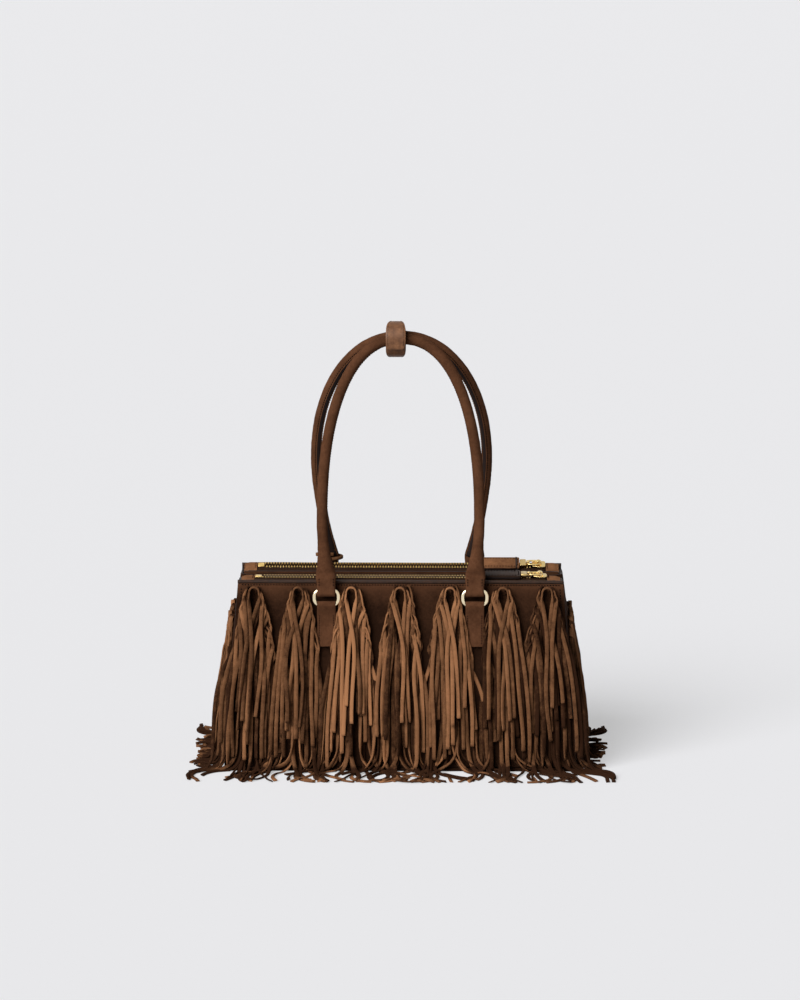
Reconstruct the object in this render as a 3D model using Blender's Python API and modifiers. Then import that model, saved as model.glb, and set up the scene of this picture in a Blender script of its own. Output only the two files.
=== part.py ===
"""Fringed suede handbag: a soft trapezoid body with two zipped pockets and an open middle
compartment, two rolled handles on rings, a keeper strap at their top and a fringe of tassels.

Frame: +Z up, +X to the right of the front view, -Y towards the viewer, origin at the middle of
the base on the surface that the bag stands on. Metres.
"""

import math

import bmesh
import bpy
from mathutils import Vector

# Clearances
CLEARANCE = 0.0003
PIVOT_CLEARANCE = 0.0004

# Body shell
RIM_LENGTH = 0.280
BASE_LENGTH = 0.304
RIM_DEPTH = 0.074
BASE_DEPTH = 0.118
PANEL_TOP = 0.1596
WALL = 0.0024
BASE_THICKNESS = 0.003
PANEL_SAG = 0.004
GUSSET_SAG = 0.005
FOLD_DEPTH = 0.012
FOLD_HEIGHT = 0.060
FOLD_FROM_DIVIDER = 0.001
PANEL_COLUMNS = 14
PANEL_ROWS = 8
GUSSET_COLUMNS = 16

# Rim, dividers and middle compartment
BINDING_HEIGHT = 0.0034
BINDING_SHOULDER = 0.0010
BINDING_LIP = 0.0006
MOUTH_DEPTH = 0.021
DIVIDER_RISE = 0.0014

# Zips: chain, tapes, end tabs
CHAIN_RISE = 0.0035
FRONT_ZIP_TILT = math.radians(6.0)
REAR_ZIP_TILT = math.radians(22.0)
TOOTH_ROW_WIDTH = 0.0026
TOOTH_ROW_GAP = 0.0008
TOOTH_THICKNESS = 0.0026
TAPE_THICKNESS = 0.0009
TAPE_FLAT = 0.0019
TAPE_DROP = 0.0008
SLANT_ALLOWANCE = 0.3
STOP_LENGTH = 0.0055
STOP_THICKNESS = 0.0029
END_TAB_LENGTH = 0.0116
END_TAB_THICKNESS = 0.0018

# Sliders and pulls
SLIDER_LENGTH = 0.012
SLIDER_WIDTH = 0.0092
SLIDER_PLATE = 0.001
SLIDER_WEB = 0.0004
SLIDER_LIP = 0.0008
SLIDER_PLAY = 0.00035
BRIDGE_LENGTH = 0.0044
BRIDGE_WIDTH = 0.0034
BRIDGE_WALL = 0.0009
LINK_LENGTH = 0.0095
LINK_WIDTH = 0.006
LINK_WIRE = 0.0008
LINK_BEND = 0.0016
CLAMP_LENGTH = 0.0055
CLAMP_WIDTH = 0.0095
CLAMP_THICKNESS = 0.0031
KNUCKLE_WALL = 0.0006
KNUCKLE_FLOOR = 0.00035
PULL_LENGTH = 0.038
PULL_WIDTH = 0.016
PULL_THICKNESS = 0.0026

# Rings and their tabs
RING_X = 0.0636
RING_BELOW_RIM = 0.016
RING_FROM_RIM = 0.009
RING_PITCH = 0.0128
RING_WIDTH = 0.0208
RING_WIRE = 0.0016
RING_BEND = 0.004
TAB_WIDTH = 0.015
LOOP_WALL = 0.0014
TAB_THICKNESS = 0.003
TAB_LENGTH = 0.0356
TAB_FREE_LENGTH = 0.0126

# Handles: an arch springs from its legs at a height above the rings' upper bars
HANDLE_RADIUS = 0.0052
FRONT_ARCH = {"centre_x": 0.001, "half_width": 0.064, "spring": 0.1086, "rise": 0.103, "power": 2.0}
REAR_ARCH = {"centre_x": 0.0, "half_width": 0.073, "spring": 0.1016, "rise": 0.111, "power": 2.1}
LEG_STEPS = 7
ARCH_STEPS = 26
HANDLE_SIDES = 12

# Keeper strap round both handles. Its angles, in degrees, run from the rear over the bottom.
KEEPER_X = -0.0045
KEEPER_HANG = 0.0007
KEEPER_WIDTH = 0.017
KEEPER_ROOM = 0.0010
KEEPER_STRAIGHT = 0.0012
KEEPER_THICKNESS = 0.0016
KEEPER_STARTS = 150
KEEPER_LIFTS = 390
KEEPER_LIES_ON_STUD = 500
KEEPER_ENDS = 565
SNAP_DIAMETER = 0.007
SNAP_THICKNESS = 0.001

# Tie cord on the rear left handle
TIE_RADIUS = 0.0022
TIE_ABOVE_BAR = 0.010
TIE_RISE = 0.0048
TIE_TURNS = 1.3
TIE_ROUNDS_CORNERS = 1.15

# Fringe
TASSEL_BELOW_RIM = 0.0011
TASSEL_FROM_END = 0.014
TASSEL_OUTSIDE_RING = 0.0238
TASSEL_INSIDE_RING = 0.0216
SIDE_FRINGE_BELOW_RIM = 0.0056
FRINGE_FLOOR = 0.0004
FRINGE_OVER_TABS = 0.005

# Sizes that follow from the ones above
CHAIN_Y = (MOUTH_DEPTH + RIM_DEPTH) / 4
CHAIN_Z = PANEL_TOP + CHAIN_RISE
DIVIDER_TOP = PANEL_TOP + DIVIDER_RISE
FOLD_HALF_WIDTH = MOUTH_DEPTH / 2 - FOLD_FROM_DIVIDER
TAPE_END = RIM_LENGTH / 2 - WALL - CLEARANCE - END_TAB_LENGTH
SLIDER_CENTRE_X = TAPE_END - SLIDER_LENGTH / 2
CHAIN_RIGHT = SLIDER_CENTRE_X - SLIDER_LENGTH / 2
CHAIN_LEFT = CLEARANCE + STOP_LENGTH + CLEARANCE - TAPE_END
RING_Y = RIM_DEPTH / 2 + RING_FROM_RIM
RING_LOWER_Z = PANEL_TOP - RING_BELOW_RIM
BAR_Z = RING_LOWER_Z + RING_PITCH
SLIDER_TOP = TOOTH_THICKNESS / 2 + SLIDER_PLAY + SLIDER_PLATE
LINK_HOLE = LINK_WIRE + PIVOT_CLEARANCE
PIVOT_HEIGHT = SLIDER_TOP + LINK_HOLE
LOOP_HOLE = RING_WIRE + PIVOT_CLEARANCE
LOOP_RADIUS = LOOP_HOLE + LOOP_WALL
HANDLE_APEX_Y = HANDLE_RADIUS + CLEARANCE
KEEPER_BORE = HANDLE_APEX_Y + HANDLE_RADIUS + KEEPER_ROOM
KEEPER_Z = BAR_Z + FRONT_ARCH["spring"] + FRONT_ARCH["rise"] - KEEPER_HANG
TASSEL_TOP = PANEL_TOP - TASSEL_BELOW_RIM
TASSEL_STEPS = (RING_X - TASSEL_INSIDE_RING, RING_X + TASSEL_OUTSIDE_RING, RIM_LENGTH / 2 - TASSEL_FROM_END)
TASSEL_X = tuple(-x for x in reversed(TASSEL_STEPS)) + (0.0,) + TASSEL_STEPS

COLLECTION = "fringed_suede_bag"
CUTTERS = "cutters"


def start_scene():
    for item in list(bpy.data.objects):
        bpy.data.objects.remove(item, do_unlink=True)
    for name in (COLLECTION, CUTTERS):
        bpy.context.scene.collection.children.link(bpy.data.collections.new(name))


def make_material(name, colour, roughness, metallic):
    material = bpy.data.materials.new(name)
    material.use_nodes = True
    shader = material.node_tree.nodes["Principled BSDF"]
    shader.inputs["Base Color"].default_value = (*colour, 1.0)
    shader.inputs["Roughness"].default_value = roughness
    shader.inputs["Metallic"].default_value = metallic
    material.diffuse_color = (*colour, 1.0)
    return material


def add_object(name, data, material, parent=None, location=(0, 0, 0), collection=COLLECTION):
    item = bpy.data.objects.new(name, data)
    bpy.data.collections[collection].objects.link(item)
    item.location = location
    if parent is not None:
        item.parent = parent
    if material is not None:
        data.materials.append(material)
    return item


def mesh_from(bm, name):
    bmesh.ops.recalc_face_normals(bm, faces=bm.faces)
    mesh = bpy.data.meshes.new(name)
    bm.to_mesh(mesh)
    bm.free()
    return mesh


def loft_mesh(name, rings):
    """A closed solid through rings of equally many points, with flat ends."""
    bm = bmesh.new()
    loops = [[bm.verts.new(point) for point in ring] for ring in rings]
    for lower, upper in zip(loops, loops[1:]):
        for i in range(len(lower)):
            j = (i + 1) % len(lower)
            bm.faces.new((lower[i], lower[j], upper[j], upper[i]))
    bm.faces.new(list(reversed(loops[0])))
    bm.faces.new(loops[-1])
    return mesh_from(bm, name)


def prism_mesh(name, outline, x_low, x_high):
    """An outline in Y and Z, drawn out along X."""
    rings = [[Vector((x, y, z)) for y, z in outline] for x in (x_low, x_high)]
    return loft_mesh(name, rings)


def sheet_mesh(name, rows):
    """An open surface through rows of points, for Solidify."""
    bm = bmesh.new()
    grid = [[bm.verts.new(point) for point in row] for row in rows]
    for lower, upper in zip(grid, grid[1:]):
        for i in range(len(lower) - 1):
            bm.faces.new((lower[i], lower[i + 1], upper[i + 1], upper[i]))
    mesh = bpy.data.meshes.new(name)
    bm.to_mesh(mesh)
    bm.free()
    return mesh


def box_mesh(name, low, high):
    bm = bmesh.new()
    bmesh.ops.create_cube(bm, size=1.0)
    size = Vector(high) - Vector(low)
    bmesh.ops.scale(bm, vec=size, verts=bm.verts)
    bmesh.ops.translate(bm, vec=(Vector(high) + Vector(low)) / 2, verts=bm.verts)
    return mesh_from(bm, name)


def solidify(item, thickness, offset):
    modifier = item.modifiers.new("Thickness", "SOLIDIFY")
    modifier.thickness = thickness
    modifier.offset = offset
    modifier.use_even_offset = True


def bore(item, radius, length, centre, axis_turn):
    """Cuts a round hole; axis_turn is the rotation that lays the cutter's own Z on the hole."""
    bm = bmesh.new()
    bmesh.ops.create_cone(
        bm, cap_ends=True, segments=24, radius1=radius, radius2=radius, depth=length
    )
    cutter = add_object(item.name + "_bore", mesh_from(bm, "bore"), None, item.parent, collection=CUTTERS)
    cutter.location = Vector(item.location) + Vector(centre)
    cutter.rotation_euler = axis_turn
    cutter.hide_render = True
    cutter.display_type = "WIRE"
    modifier = item.modifiers.new("Bore", "BOOLEAN")
    modifier.operation = "DIFFERENCE"
    modifier.object = cutter
    modifier.solver = "EXACT"


def mix(a, b, t):
    return a + (b - a) * t


def ease(t):
    t = min(max(t, 0.0), 1.0)
    return t * t * (3 - 2 * t)


def signed_power(value, power):
    return math.copysign(abs(value) ** power, value)


# Shape of the body

def half_length(z):
    return mix(BASE_LENGTH, RIM_LENGTH, z / PANEL_TOP) / 2


def half_depth(z):
    return mix(BASE_DEPTH, RIM_DEPTH, z / PANEL_TOP) / 2


def panel_depth(x, z):
    """How far the outer face of the front or rear panel stands from the middle plane."""
    along = math.cos(math.pi / 2 * min(abs(x) / half_length(z), 1.0))
    up = math.sin(math.pi * min(max(z / PANEL_TOP, 0.0), 1.0))
    return half_depth(z) + PANEL_SAG * along * up


def gusset_reach(y, z):
    """How far the outer face of a gusset stands from the middle of the bag."""
    across = max(math.cos(math.pi / 2 * y / half_depth(z)), 0.0)
    up = math.sin(math.pi * min(max(z / PANEL_TOP, 0.0), 1.0))
    reach = half_length(z) + GUSSET_SAG * across * up
    if abs(y) < FOLD_HALF_WIDTH:
        fold = math.cos(math.pi / 2 * y / FOLD_HALF_WIDTH) ** 2
        reach -= FOLD_DEPTH * fold * ease(1 - (PANEL_TOP - z) / FOLD_HEIGHT)
    return reach


def wall_levels():
    """Heights of the rows of a wall. Its slant brings its inner edge a little lower."""
    slant = (BASE_DEPTH - RIM_DEPTH) / 2 / PANEL_TOP
    low = BASE_THICKNESS + CLEARANCE + WALL * slant
    return [mix(low, PANEL_TOP, row / PANEL_ROWS) for row in range(PANEL_ROWS + 1)]


def make_base(leather):
    low = (-BASE_LENGTH / 2, -BASE_DEPTH / 2, 0)
    high = (BASE_LENGTH / 2, BASE_DEPTH / 2, BASE_THICKNESS)
    base = add_object("base_panel", box_mesh("base_panel", low, high), leather)
    bevel = base.modifiers.new("Soft edges", "BEVEL")
    bevel.width = BASE_THICKNESS / 4
    bevel.segments = 2


def make_panels(leather):
    for side, name in ((-1, "front_panel"), (1, "rear_panel")):
        rows = []
        for z in wall_levels():
            reach = half_length(z)
            xs = [mix(-reach, reach, i / PANEL_COLUMNS) for i in range(PANEL_COLUMNS + 1)]
            rows.append([Vector((x, side * panel_depth(x, z), z)) for x in xs])
        panel = add_object(name, sheet_mesh(name, rows), leather)
        solidify(panel, WALL, -1 if side < 0 else 1)


def make_gussets(leather):
    for side, name in ((-1, "left_gusset"), (1, "right_gusset")):
        rows = []
        for z in wall_levels():
            reach = half_depth(z) - WALL - CLEARANCE
            ys = [mix(-reach, reach, i / GUSSET_COLUMNS) for i in range(GUSSET_COLUMNS + 1)]
            rows.append([Vector((side * gusset_reach(y, z), y, z)) for y in ys])
        gusset = add_object(name, sheet_mesh(name, rows), leather)
        solidify(gusset, WALL, 1 if side < 0 else -1)


def make_dividers(leather):
    centre = MOUTH_DEPTH / 2 + WALL / 2
    for side, name in ((-1, "front_divider"), (1, "rear_divider")):
        rows = []
        for z in wall_levels()[:-1] + [DIVIDER_TOP]:
            reach = gusset_reach(centre, z) - WALL - 2 * CLEARANCE
            rows.append([Vector((x, side * centre, z)) for x in (-reach, reach)])
        divider = add_object(name, sheet_mesh(name, rows), leather)
        solidify(divider, WALL, 0)


def binding_faces():
    """Outer and inner face of a rim binding, as distances from the middle plane."""
    return RIM_DEPTH / 2 + BINDING_LIP, RIM_DEPTH / 2 - WALL - BINDING_LIP


def make_bindings(leather):
    outer, inner = binding_faces()
    bottom = PANEL_TOP + CLEARANCE
    top = bottom + BINDING_HEIGHT
    for side, name in ((-1, "front_rim_binding"), (1, "rear_rim_binding")):
        outline = [
            (side * outer, bottom),
            (side * outer, top - BINDING_SHOULDER),
            (side * (outer - BINDING_SHOULDER), top),
            (side * (inner + BINDING_SHOULDER), top),
            (side * inner, top - BINDING_SHOULDER),
            (side * inner, bottom),
        ]
        reach = RIM_LENGTH / 2
        add_object(name, prism_mesh(name, outline, -reach, reach), leather)


# Zips

def chain_point(side, tilt, across, up=0.0):
    """A point of the zip's cross-section, from the middle of its chain, in world Y and Z."""
    y = side * CHAIN_Y + across * math.cos(tilt) - up * math.sin(tilt)
    z = CHAIN_Z + across * math.sin(tilt) + up * math.cos(tilt)
    return y, z


def tape_route(side, tilt, outwards, thickness):
    """The line from the chain to the binding, or to the divider if not outwards. Its end is
    slanted, so a thick strip stops a little earlier."""
    way = side if outwards else -side
    start = way * (TOOTH_ROW_GAP / 2 + TOOTH_ROW_WIDTH + CLEARANCE)
    bend = start + way * TAPE_FLAT
    gap = CLEARANCE + thickness * SLANT_ALLOWANCE
    if outwards:
        end = (side * (binding_faces()[1] - gap), PANEL_TOP + BINDING_HEIGHT - BINDING_SHOULDER)
    else:
        end = (side * (MOUTH_DEPTH / 2 + WALL + gap), DIVIDER_TOP - TAPE_DROP)
    return [chain_point(side, tilt, start), chain_point(side, tilt, bend), end]


def make_tapes(zip_name, side, tilt, cloth):
    for outwards, part in ((True, "outer"), (False, "inner")):
        name = f"{zip_name}_zip_{part}_tape"
        route = tape_route(side, tilt, outwards, TAPE_THICKNESS)
        rows = [[Vector((x, y, z)) for x in (-TAPE_END, TAPE_END)] for y, z in route]
        tape = add_object(name, sheet_mesh(name, rows), cloth)
        solidify(tape, TAPE_THICKNESS, 0)


def make_chain(zip_name, frame, side, brass):
    half = TOOTH_THICKNESS / 2
    near = TOOTH_ROW_GAP / 2
    far = near + TOOTH_ROW_WIDTH
    for outwards, part in ((True, "outer"), (False, "inner")):
        way = side if outwards else -side
        low = (CHAIN_LEFT, min(way * near, way * far), -half)
        high = (CHAIN_RIGHT, max(way * near, way * far), half)
        name = f"{zip_name}_zip_{part}_teeth"
        add_object(name, box_mesh(name, low, high), brass, frame)
    low = (CHAIN_LEFT - CLEARANCE - STOP_LENGTH, -far, -STOP_THICKNESS / 2)
    high = (CHAIN_LEFT - CLEARANCE, far, STOP_THICKNESS / 2)
    name = f"{zip_name}_zip_bottom_stop"
    stop = add_object(name, box_mesh(name, low, high), brass, frame)
    bevel = stop.modifiers.new("Soft edges", "BEVEL")
    bevel.width = STOP_THICKNESS / 6
    bevel.segments = 1


def make_end_tabs(zip_name, side, tilt, leather):
    """Suede patches that close both ends of the zip, bent over its ridge."""
    outer = tape_route(side, tilt, True, END_TAB_THICKNESS)
    inner = tape_route(side, tilt, False, END_TAB_THICKNESS)
    ridge = [outer[2], outer[1], inner[1], inner[2]]
    start = TAPE_END + CLEARANCE
    end = TAPE_END + END_TAB_LENGTH
    for x_low, x_high, part in ((-end, -start, "left"), (start, end, "right")):
        name = f"{zip_name}_zip_{part}_end_tab"
        rows = [[Vector((x, y, z)) for x in (x_low, x_high)] for y, z in ridge]
        tab = add_object(name, sheet_mesh(name, rows), leather)
        solidify(tab, END_TAB_THICKNESS, 0)


def slider_outline():
    """The slider's cross-section: two plates with lips, joined by a thin web."""
    half = SLIDER_WIDTH / 2
    inside = TOOTH_THICKNESS / 2 + SLIDER_PLAY
    outside = inside + SLIDER_PLATE
    lip = TAPE_THICKNESS / 2 + CLEARANCE
    lip_in = half - SLIDER_LIP
    web = SLIDER_WEB / 2
    quarter = [(web, inside), (lip_in, inside), (lip_in, lip), (half, lip), (half, outside)]
    right_top = quarter
    left_top = [(-y, z) for y, z in reversed(quarter)]
    left_bottom = [(-y, -z) for y, z in quarter]
    right_bottom = [(y, -z) for y, z in reversed(quarter)]
    return right_top + left_top + left_bottom + right_bottom


def rounded_rectangle(length, width, radius, steps):
    """Points of a closed rounded rectangle, centred on the origin."""
    points = []
    for corner, (cx, cy) in enumerate(((1, 1), (-1, 1), (-1, -1), (1, -1))):
        centre = (cx * (length / 2 - radius), cy * (width / 2 - radius))
        for step in range(steps + 1):
            angle = math.pi / 2 * (corner + step / steps)
            points.append((centre[0] + radius * math.cos(angle), centre[1] + radius * math.sin(angle)))
    return points


def wire_loop(name, points, radius, material, parent, location):
    curve = bpy.data.curves.new(name, "CURVE")
    curve.dimensions = "3D"
    curve.bevel_depth = radius
    curve.bevel_resolution = 2
    spline = curve.splines.new("POLY")
    spline.points.add(len(points) - 1)
    for slot, point in zip(spline.points, points):
        slot.co = (*point, 1.0)
    spline.use_cyclic_u = True
    return add_object(name, curve, material, parent, location)


def join_box(item, low, high):
    """Unites a box with a piece, both in the piece's own frame."""
    cutter = add_object(item.name + "_added", box_mesh("added", low, high), None, item.parent, collection=CUTTERS)
    cutter.location = item.location
    cutter.hide_render = True
    cutter.display_type = "WIRE"
    modifier = item.modifiers.new("Added", "BOOLEAN")
    modifier.operation = "UNION"
    modifier.object = cutter
    modifier.solver = "EXACT"


def make_pull(zip_name, frame, brass, leather):
    across = (math.pi / 2, 0, 0)

    name = f"{zip_name}_slider"
    half = SLIDER_LENGTH / 2
    slider = add_object(
        name, prism_mesh(name, slider_outline(), -half, half), brass, frame, (SLIDER_CENTRE_X, 0, 0)
    )
    low = (-BRIDGE_LENGTH / 2, -BRIDGE_WIDTH / 2, SLIDER_TOP - SLIDER_PLATE / 2)
    high = (BRIDGE_LENGTH / 2, BRIDGE_WIDTH / 2, PIVOT_HEIGHT + LINK_HOLE + BRIDGE_WALL)
    join_box(slider, low, high)
    bore(slider, LINK_HOLE, SLIDER_WIDTH, (0, 0, PIVOT_HEIGHT), across)

    points = [
        (x - LINK_LENGTH / 2, y, 0) for x, y in rounded_rectangle(LINK_LENGTH, LINK_WIDTH, LINK_BEND, 3)
    ]
    link_eye = (SLIDER_CENTRE_X, 0, PIVOT_HEIGHT)
    wire_loop(f"{zip_name}_pull_link", points, LINK_WIRE, brass, frame, link_eye)

    name = f"{zip_name}_pull_clamp"
    clamp_eye = (SLIDER_CENTRE_X - LINK_LENGTH, 0, PIVOT_HEIGHT)
    clamp_right = -(LINK_WIRE + 1.5 * PIVOT_CLEARANCE)
    clamp_low = SLIDER_TOP - SLIDER_PLATE - PIVOT_HEIGHT
    low = (clamp_right - CLAMP_LENGTH, -CLAMP_WIDTH / 2, clamp_low)
    high = (clamp_right, CLAMP_WIDTH / 2, clamp_low + CLAMP_THICKNESS)
    clamp = add_object(name, box_mesh(name, low, high), brass, frame, clamp_eye)
    knuckle = LINK_HOLE + KNUCKLE_WALL
    low = (clamp_right - CLAMP_LENGTH / 4, -BRIDGE_WIDTH / 2, -LINK_HOLE - KNUCKLE_FLOOR)
    join_box(clamp, low, (knuckle, BRIDGE_WIDTH / 2, knuckle))
    bore(clamp, LINK_HOLE, CLAMP_WIDTH * 2, (0, 0, 0), across)

    name = f"{zip_name}_pull_tab"
    tab_right = clamp_right - CLAMP_LENGTH - CLEARANCE
    low = (tab_right - PULL_LENGTH, -PULL_WIDTH / 2, clamp_low)
    high = (tab_right, PULL_WIDTH / 2, clamp_low + PULL_THICKNESS)
    tab = add_object(name, box_mesh(name, low, high), leather, frame, clamp_eye)
    bevel = tab.modifiers.new("Soft edges", "BEVEL")
    bevel.width = PULL_THICKNESS / 4
    bevel.segments = 2


def make_zip(zip_name, side, tilt, cloth, brass, leather):
    frame = bpy.data.objects.new(f"{zip_name}_zip_frame", None)
    bpy.data.collections[COLLECTION].objects.link(frame)
    frame.location = (0, side * CHAIN_Y, CHAIN_Z)
    frame.rotation_euler = (tilt, 0, 0)
    make_tapes(zip_name, side, tilt, cloth)
    make_chain(zip_name, frame, side, brass)
    make_end_tabs(zip_name, side, tilt, leather)
    make_pull(zip_name, frame, brass, leather)


# Rings, tabs and handles

def make_rings(gold):
    for side, row in ((-1, "front"), (1, "rear")):
        for hand, part in ((-1, "left"), (1, "right")):
            outline = rounded_rectangle(RING_WIDTH, RING_PITCH, RING_BEND, 4)
            points = [(x, 0, z + RING_PITCH / 2) for x, z in outline]
            place = (hand * RING_X, side * RING_Y, RING_LOWER_Z)
            wire_loop(f"{row}_{part}_ring", points, RING_WIRE, gold, None, place)


def tab_outline():
    """Side view of a ring tab: a strap on the panel that folds round the ring's lower bar."""
    inner_x = RING_X - TAB_WIDTH / 2

    def skin(z, lift):
        return panel_depth(inner_x, z) + lift, z

    foot = RING_LOWER_Z - TAB_LENGTH
    outline = [skin(foot, CLEARANCE), skin(RING_LOWER_Z - LOOP_RADIUS, CLEARANCE)]
    for degrees in range(200, -21, -20):
        angle = math.radians(degrees)
        y = RING_Y + LOOP_RADIUS * math.cos(angle)
        outline.append((y, RING_LOWER_Z + LOOP_RADIUS * math.sin(angle)))
    front = CLEARANCE + TAB_THICKNESS
    outline.append(skin(RING_LOWER_Z - TAB_FREE_LENGTH, front))
    outline.append(skin(foot, front))
    return outline


def make_ring_tabs(leather):
    for side, row in ((-1, "front"), (1, "rear")):
        for hand, part in ((-1, "left"), (1, "right")):
            name = f"{row}_{part}_ring_tab"
            outline = [(side * depth, z) for depth, z in tab_outline()]
            mesh = prism_mesh(name, outline, -TAB_WIDTH / 2, TAB_WIDTH / 2)
            tab = add_object(name, mesh, leather, None, (hand * RING_X, 0, 0))
            centre = (0, side * RING_Y, RING_LOWER_Z)
            bore(tab, LOOP_HOLE, TAB_WIDTH * 2, centre, (0, math.pi / 2, 0))


def handle_profile():
    """Half width, half thickness and squareness of a handle, by the height above its ring bar."""
    tab = TAB_WIDTH / 2
    return [
        (-0.0052, tab - 0.0004, LOOP_RADIUS - 0.0019, 5.0),
        (-0.0044, tab, LOOP_RADIUS - 0.0007, 5.0),
        (-0.0025, tab, LOOP_RADIUS, 5.0),
        (0.0025, tab, LOOP_RADIUS, 5.0),
        (0.006, tab + 0.0002, LOOP_RADIUS - 0.0003, 4.0),
        (0.009, tab + 0.0006, LOOP_RADIUS + 0.0002, 3.0),
        (0.0125, tab + 0.00075, HANDLE_RADIUS - 0.0008, 2.4),
        (0.020, HANDLE_RADIUS + 0.0021, HANDLE_RADIUS - 0.0002, 2.0),
        (0.030, HANDLE_RADIUS + 0.0006, HANDLE_RADIUS, 2.0),
        (0.042, HANDLE_RADIUS, HANDLE_RADIUS, 2.0),
    ]


def profile_at(height):
    rows = handle_profile()
    if height <= rows[0][0]:
        return rows[0][1:]
    for low, high in zip(rows, rows[1:]):
        if height <= high[0]:
            t = (height - low[0]) / (high[0] - low[0])
            return tuple(mix(a, b, t) for a, b in zip(low[1:], high[1:]))
    return rows[-1][1:]


def arch_top(arch):
    return BAR_Z + arch["spring"] + arch["rise"]


def handle_route(side, arch):
    """Points of a handle's centre line, from the left ring over the top to the right ring."""
    top = arch_top(arch)
    spring_z = BAR_Z + arch["spring"]

    def lean(z):
        return side * mix(RING_Y, HANDLE_APEX_Y, (z - BAR_Z) / (top - BAR_Z))

    heights = [BAR_Z + row[0] for row in handle_profile()]
    above = heights[-1]
    heights += [mix(above, spring_z, (i + 1) / LEG_STEPS) for i in range(LEG_STEPS - 1)]
    legs = {}
    for hand in (-1, 1):
        spring_x = arch["centre_x"] + hand * arch["half_width"]
        leg = []
        for z in heights:
            t = ease((z - BAR_Z) / arch["spring"])
            leg.append(Vector((mix(hand * RING_X, spring_x, t), lean(z), z)))
        legs[hand] = leg
    over = []
    power = 2 / arch["power"]
    for step in range(ARCH_STEPS + 1):
        angle = math.pi * (1 - step / ARCH_STEPS)
        x = arch["centre_x"] + signed_power(math.cos(angle), power) * arch["half_width"]
        z = spring_z + signed_power(math.sin(angle), power) * arch["rise"]
        over.append(Vector((x, lean(z), z)))
    return legs[-1] + over + list(reversed(legs[1]))


def make_handle(name, side, arch, leather):
    route = handle_route(side, arch)
    lean = Vector((0, side * (HANDLE_APEX_Y - RING_Y), arch_top(arch) - BAR_Z)).normalized()
    normal = Vector((1, 0, 0)).cross(lean)
    origin = Vector((0, side * RING_Y, BAR_Z))
    rings = []
    for i, point in enumerate(route):
        before = route[max(i - 1, 0)]
        after = route[min(i + 1, len(route) - 1)]
        sideways = (after - before).cross(normal).normalized()
        half_width, half_thickness, square = profile_at(point.z - BAR_Z)
        ring = []
        for k in range(HANDLE_SIDES):
            angle = 2 * math.pi * (k + 0.5) / HANDLE_SIDES
            across = half_width * signed_power(math.cos(angle), 2 / square)
            out = half_thickness * signed_power(math.sin(angle), 2 / square)
            ring.append(point - origin + sideways * across + normal * out)
        rings.append(ring)
    handle = add_object(name, loft_mesh(name, rings), leather, None, origin)
    handle.data.shade_smooth()
    handle.data.set_sharp_from_angle(angle=math.radians(50))
    for hand in (-1, 1):
        bore(handle, LOOP_HOLE, TAB_WIDTH * 2, (hand * RING_X, 0, 0), (0, math.pi / 2, 0))


def make_keeper(leather, brass):
    """A strap that starts on the front, runs under, up the back, over and down the front again."""
    curve_room = SNAP_DIAMETER**2 / (8 * KEEPER_BORE)
    layer_step = KEEPER_THICKNESS + SNAP_THICKNESS + 2 * CLEARANCE + curve_room
    points = []
    for degrees in range(KEEPER_STARTS, KEEPER_ENDS + 1, 15):
        lift = ease((degrees - KEEPER_LIFTS) / (KEEPER_LIES_ON_STUD - KEEPER_LIFTS))
        radius = KEEPER_BORE + layer_step * lift
        angle = math.radians(degrees)
        rise = math.copysign(KEEPER_STRAIGHT, math.sin(angle)) if degrees % 180 else 0.0
        points.append((radius * math.cos(angle), rise + radius * math.sin(angle)))
    rows = [[Vector((x, y, z)) for x in (-KEEPER_WIDTH / 2, KEEPER_WIDTH / 2)] for y, z in points]
    place = (KEEPER_X, 0, KEEPER_Z)
    keeper = add_object("keeper_strap", sheet_mesh("keeper_strap", rows), leather, None, place)
    solidify(keeper, KEEPER_THICKNESS, -1)

    bm = bmesh.new()
    radius = SNAP_DIAMETER / 2
    bmesh.ops.create_cone(
        bm, cap_ends=True, segments=20, radius1=radius, radius2=radius, depth=SNAP_THICKNESS
    )
    snap = add_object("keeper_snap", mesh_from(bm, "keeper_snap"), brass)
    depth = KEEPER_BORE + KEEPER_THICKNESS + CLEARANCE + SNAP_THICKNESS / 2
    snap.location = (KEEPER_X, -depth, KEEPER_Z)
    snap.rotation_euler = (math.pi / 2, 0, 0)


def make_tie(leather):
    """A short suede cord wound round the foot of the rear left handle."""
    half_width, half_thickness, _ = profile_at(TIE_ABOVE_BAR + TIE_RISE / 2)
    reach_x = half_width * TIE_ROUNDS_CORNERS + CLEARANCE + TIE_RADIUS
    reach_y = half_thickness * TIE_ROUNDS_CORNERS + CLEARANCE + TIE_RADIUS
    slope = (HANDLE_APEX_Y - RING_Y) / (arch_top(REAR_ARCH) - BAR_Z)
    curve = bpy.data.curves.new("handle_tie", "CURVE")
    curve.dimensions = "3D"
    curve.bevel_depth = TIE_RADIUS
    curve.bevel_resolution = 2
    curve.use_fill_caps = True
    steps = 20
    spline = curve.splines.new("POLY")
    spline.points.add(steps)
    for i, slot in enumerate(spline.points):
        t = i / steps
        angle = math.radians(-150) + 2 * math.pi * TIE_TURNS * t
        rise = TIE_RISE * TIE_TURNS * t
        place = (reach_x * math.cos(angle), reach_y * math.sin(angle) + slope * rise, rise)
        slot.co = (*place, 1.0)
    foot = (-RING_X, RING_Y + slope * TIE_ABOVE_BAR, BAR_Z + TIE_ABOVE_BAR)
    add_object("handle_tie", curve, leather, None, foot)


# Fringe

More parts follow.
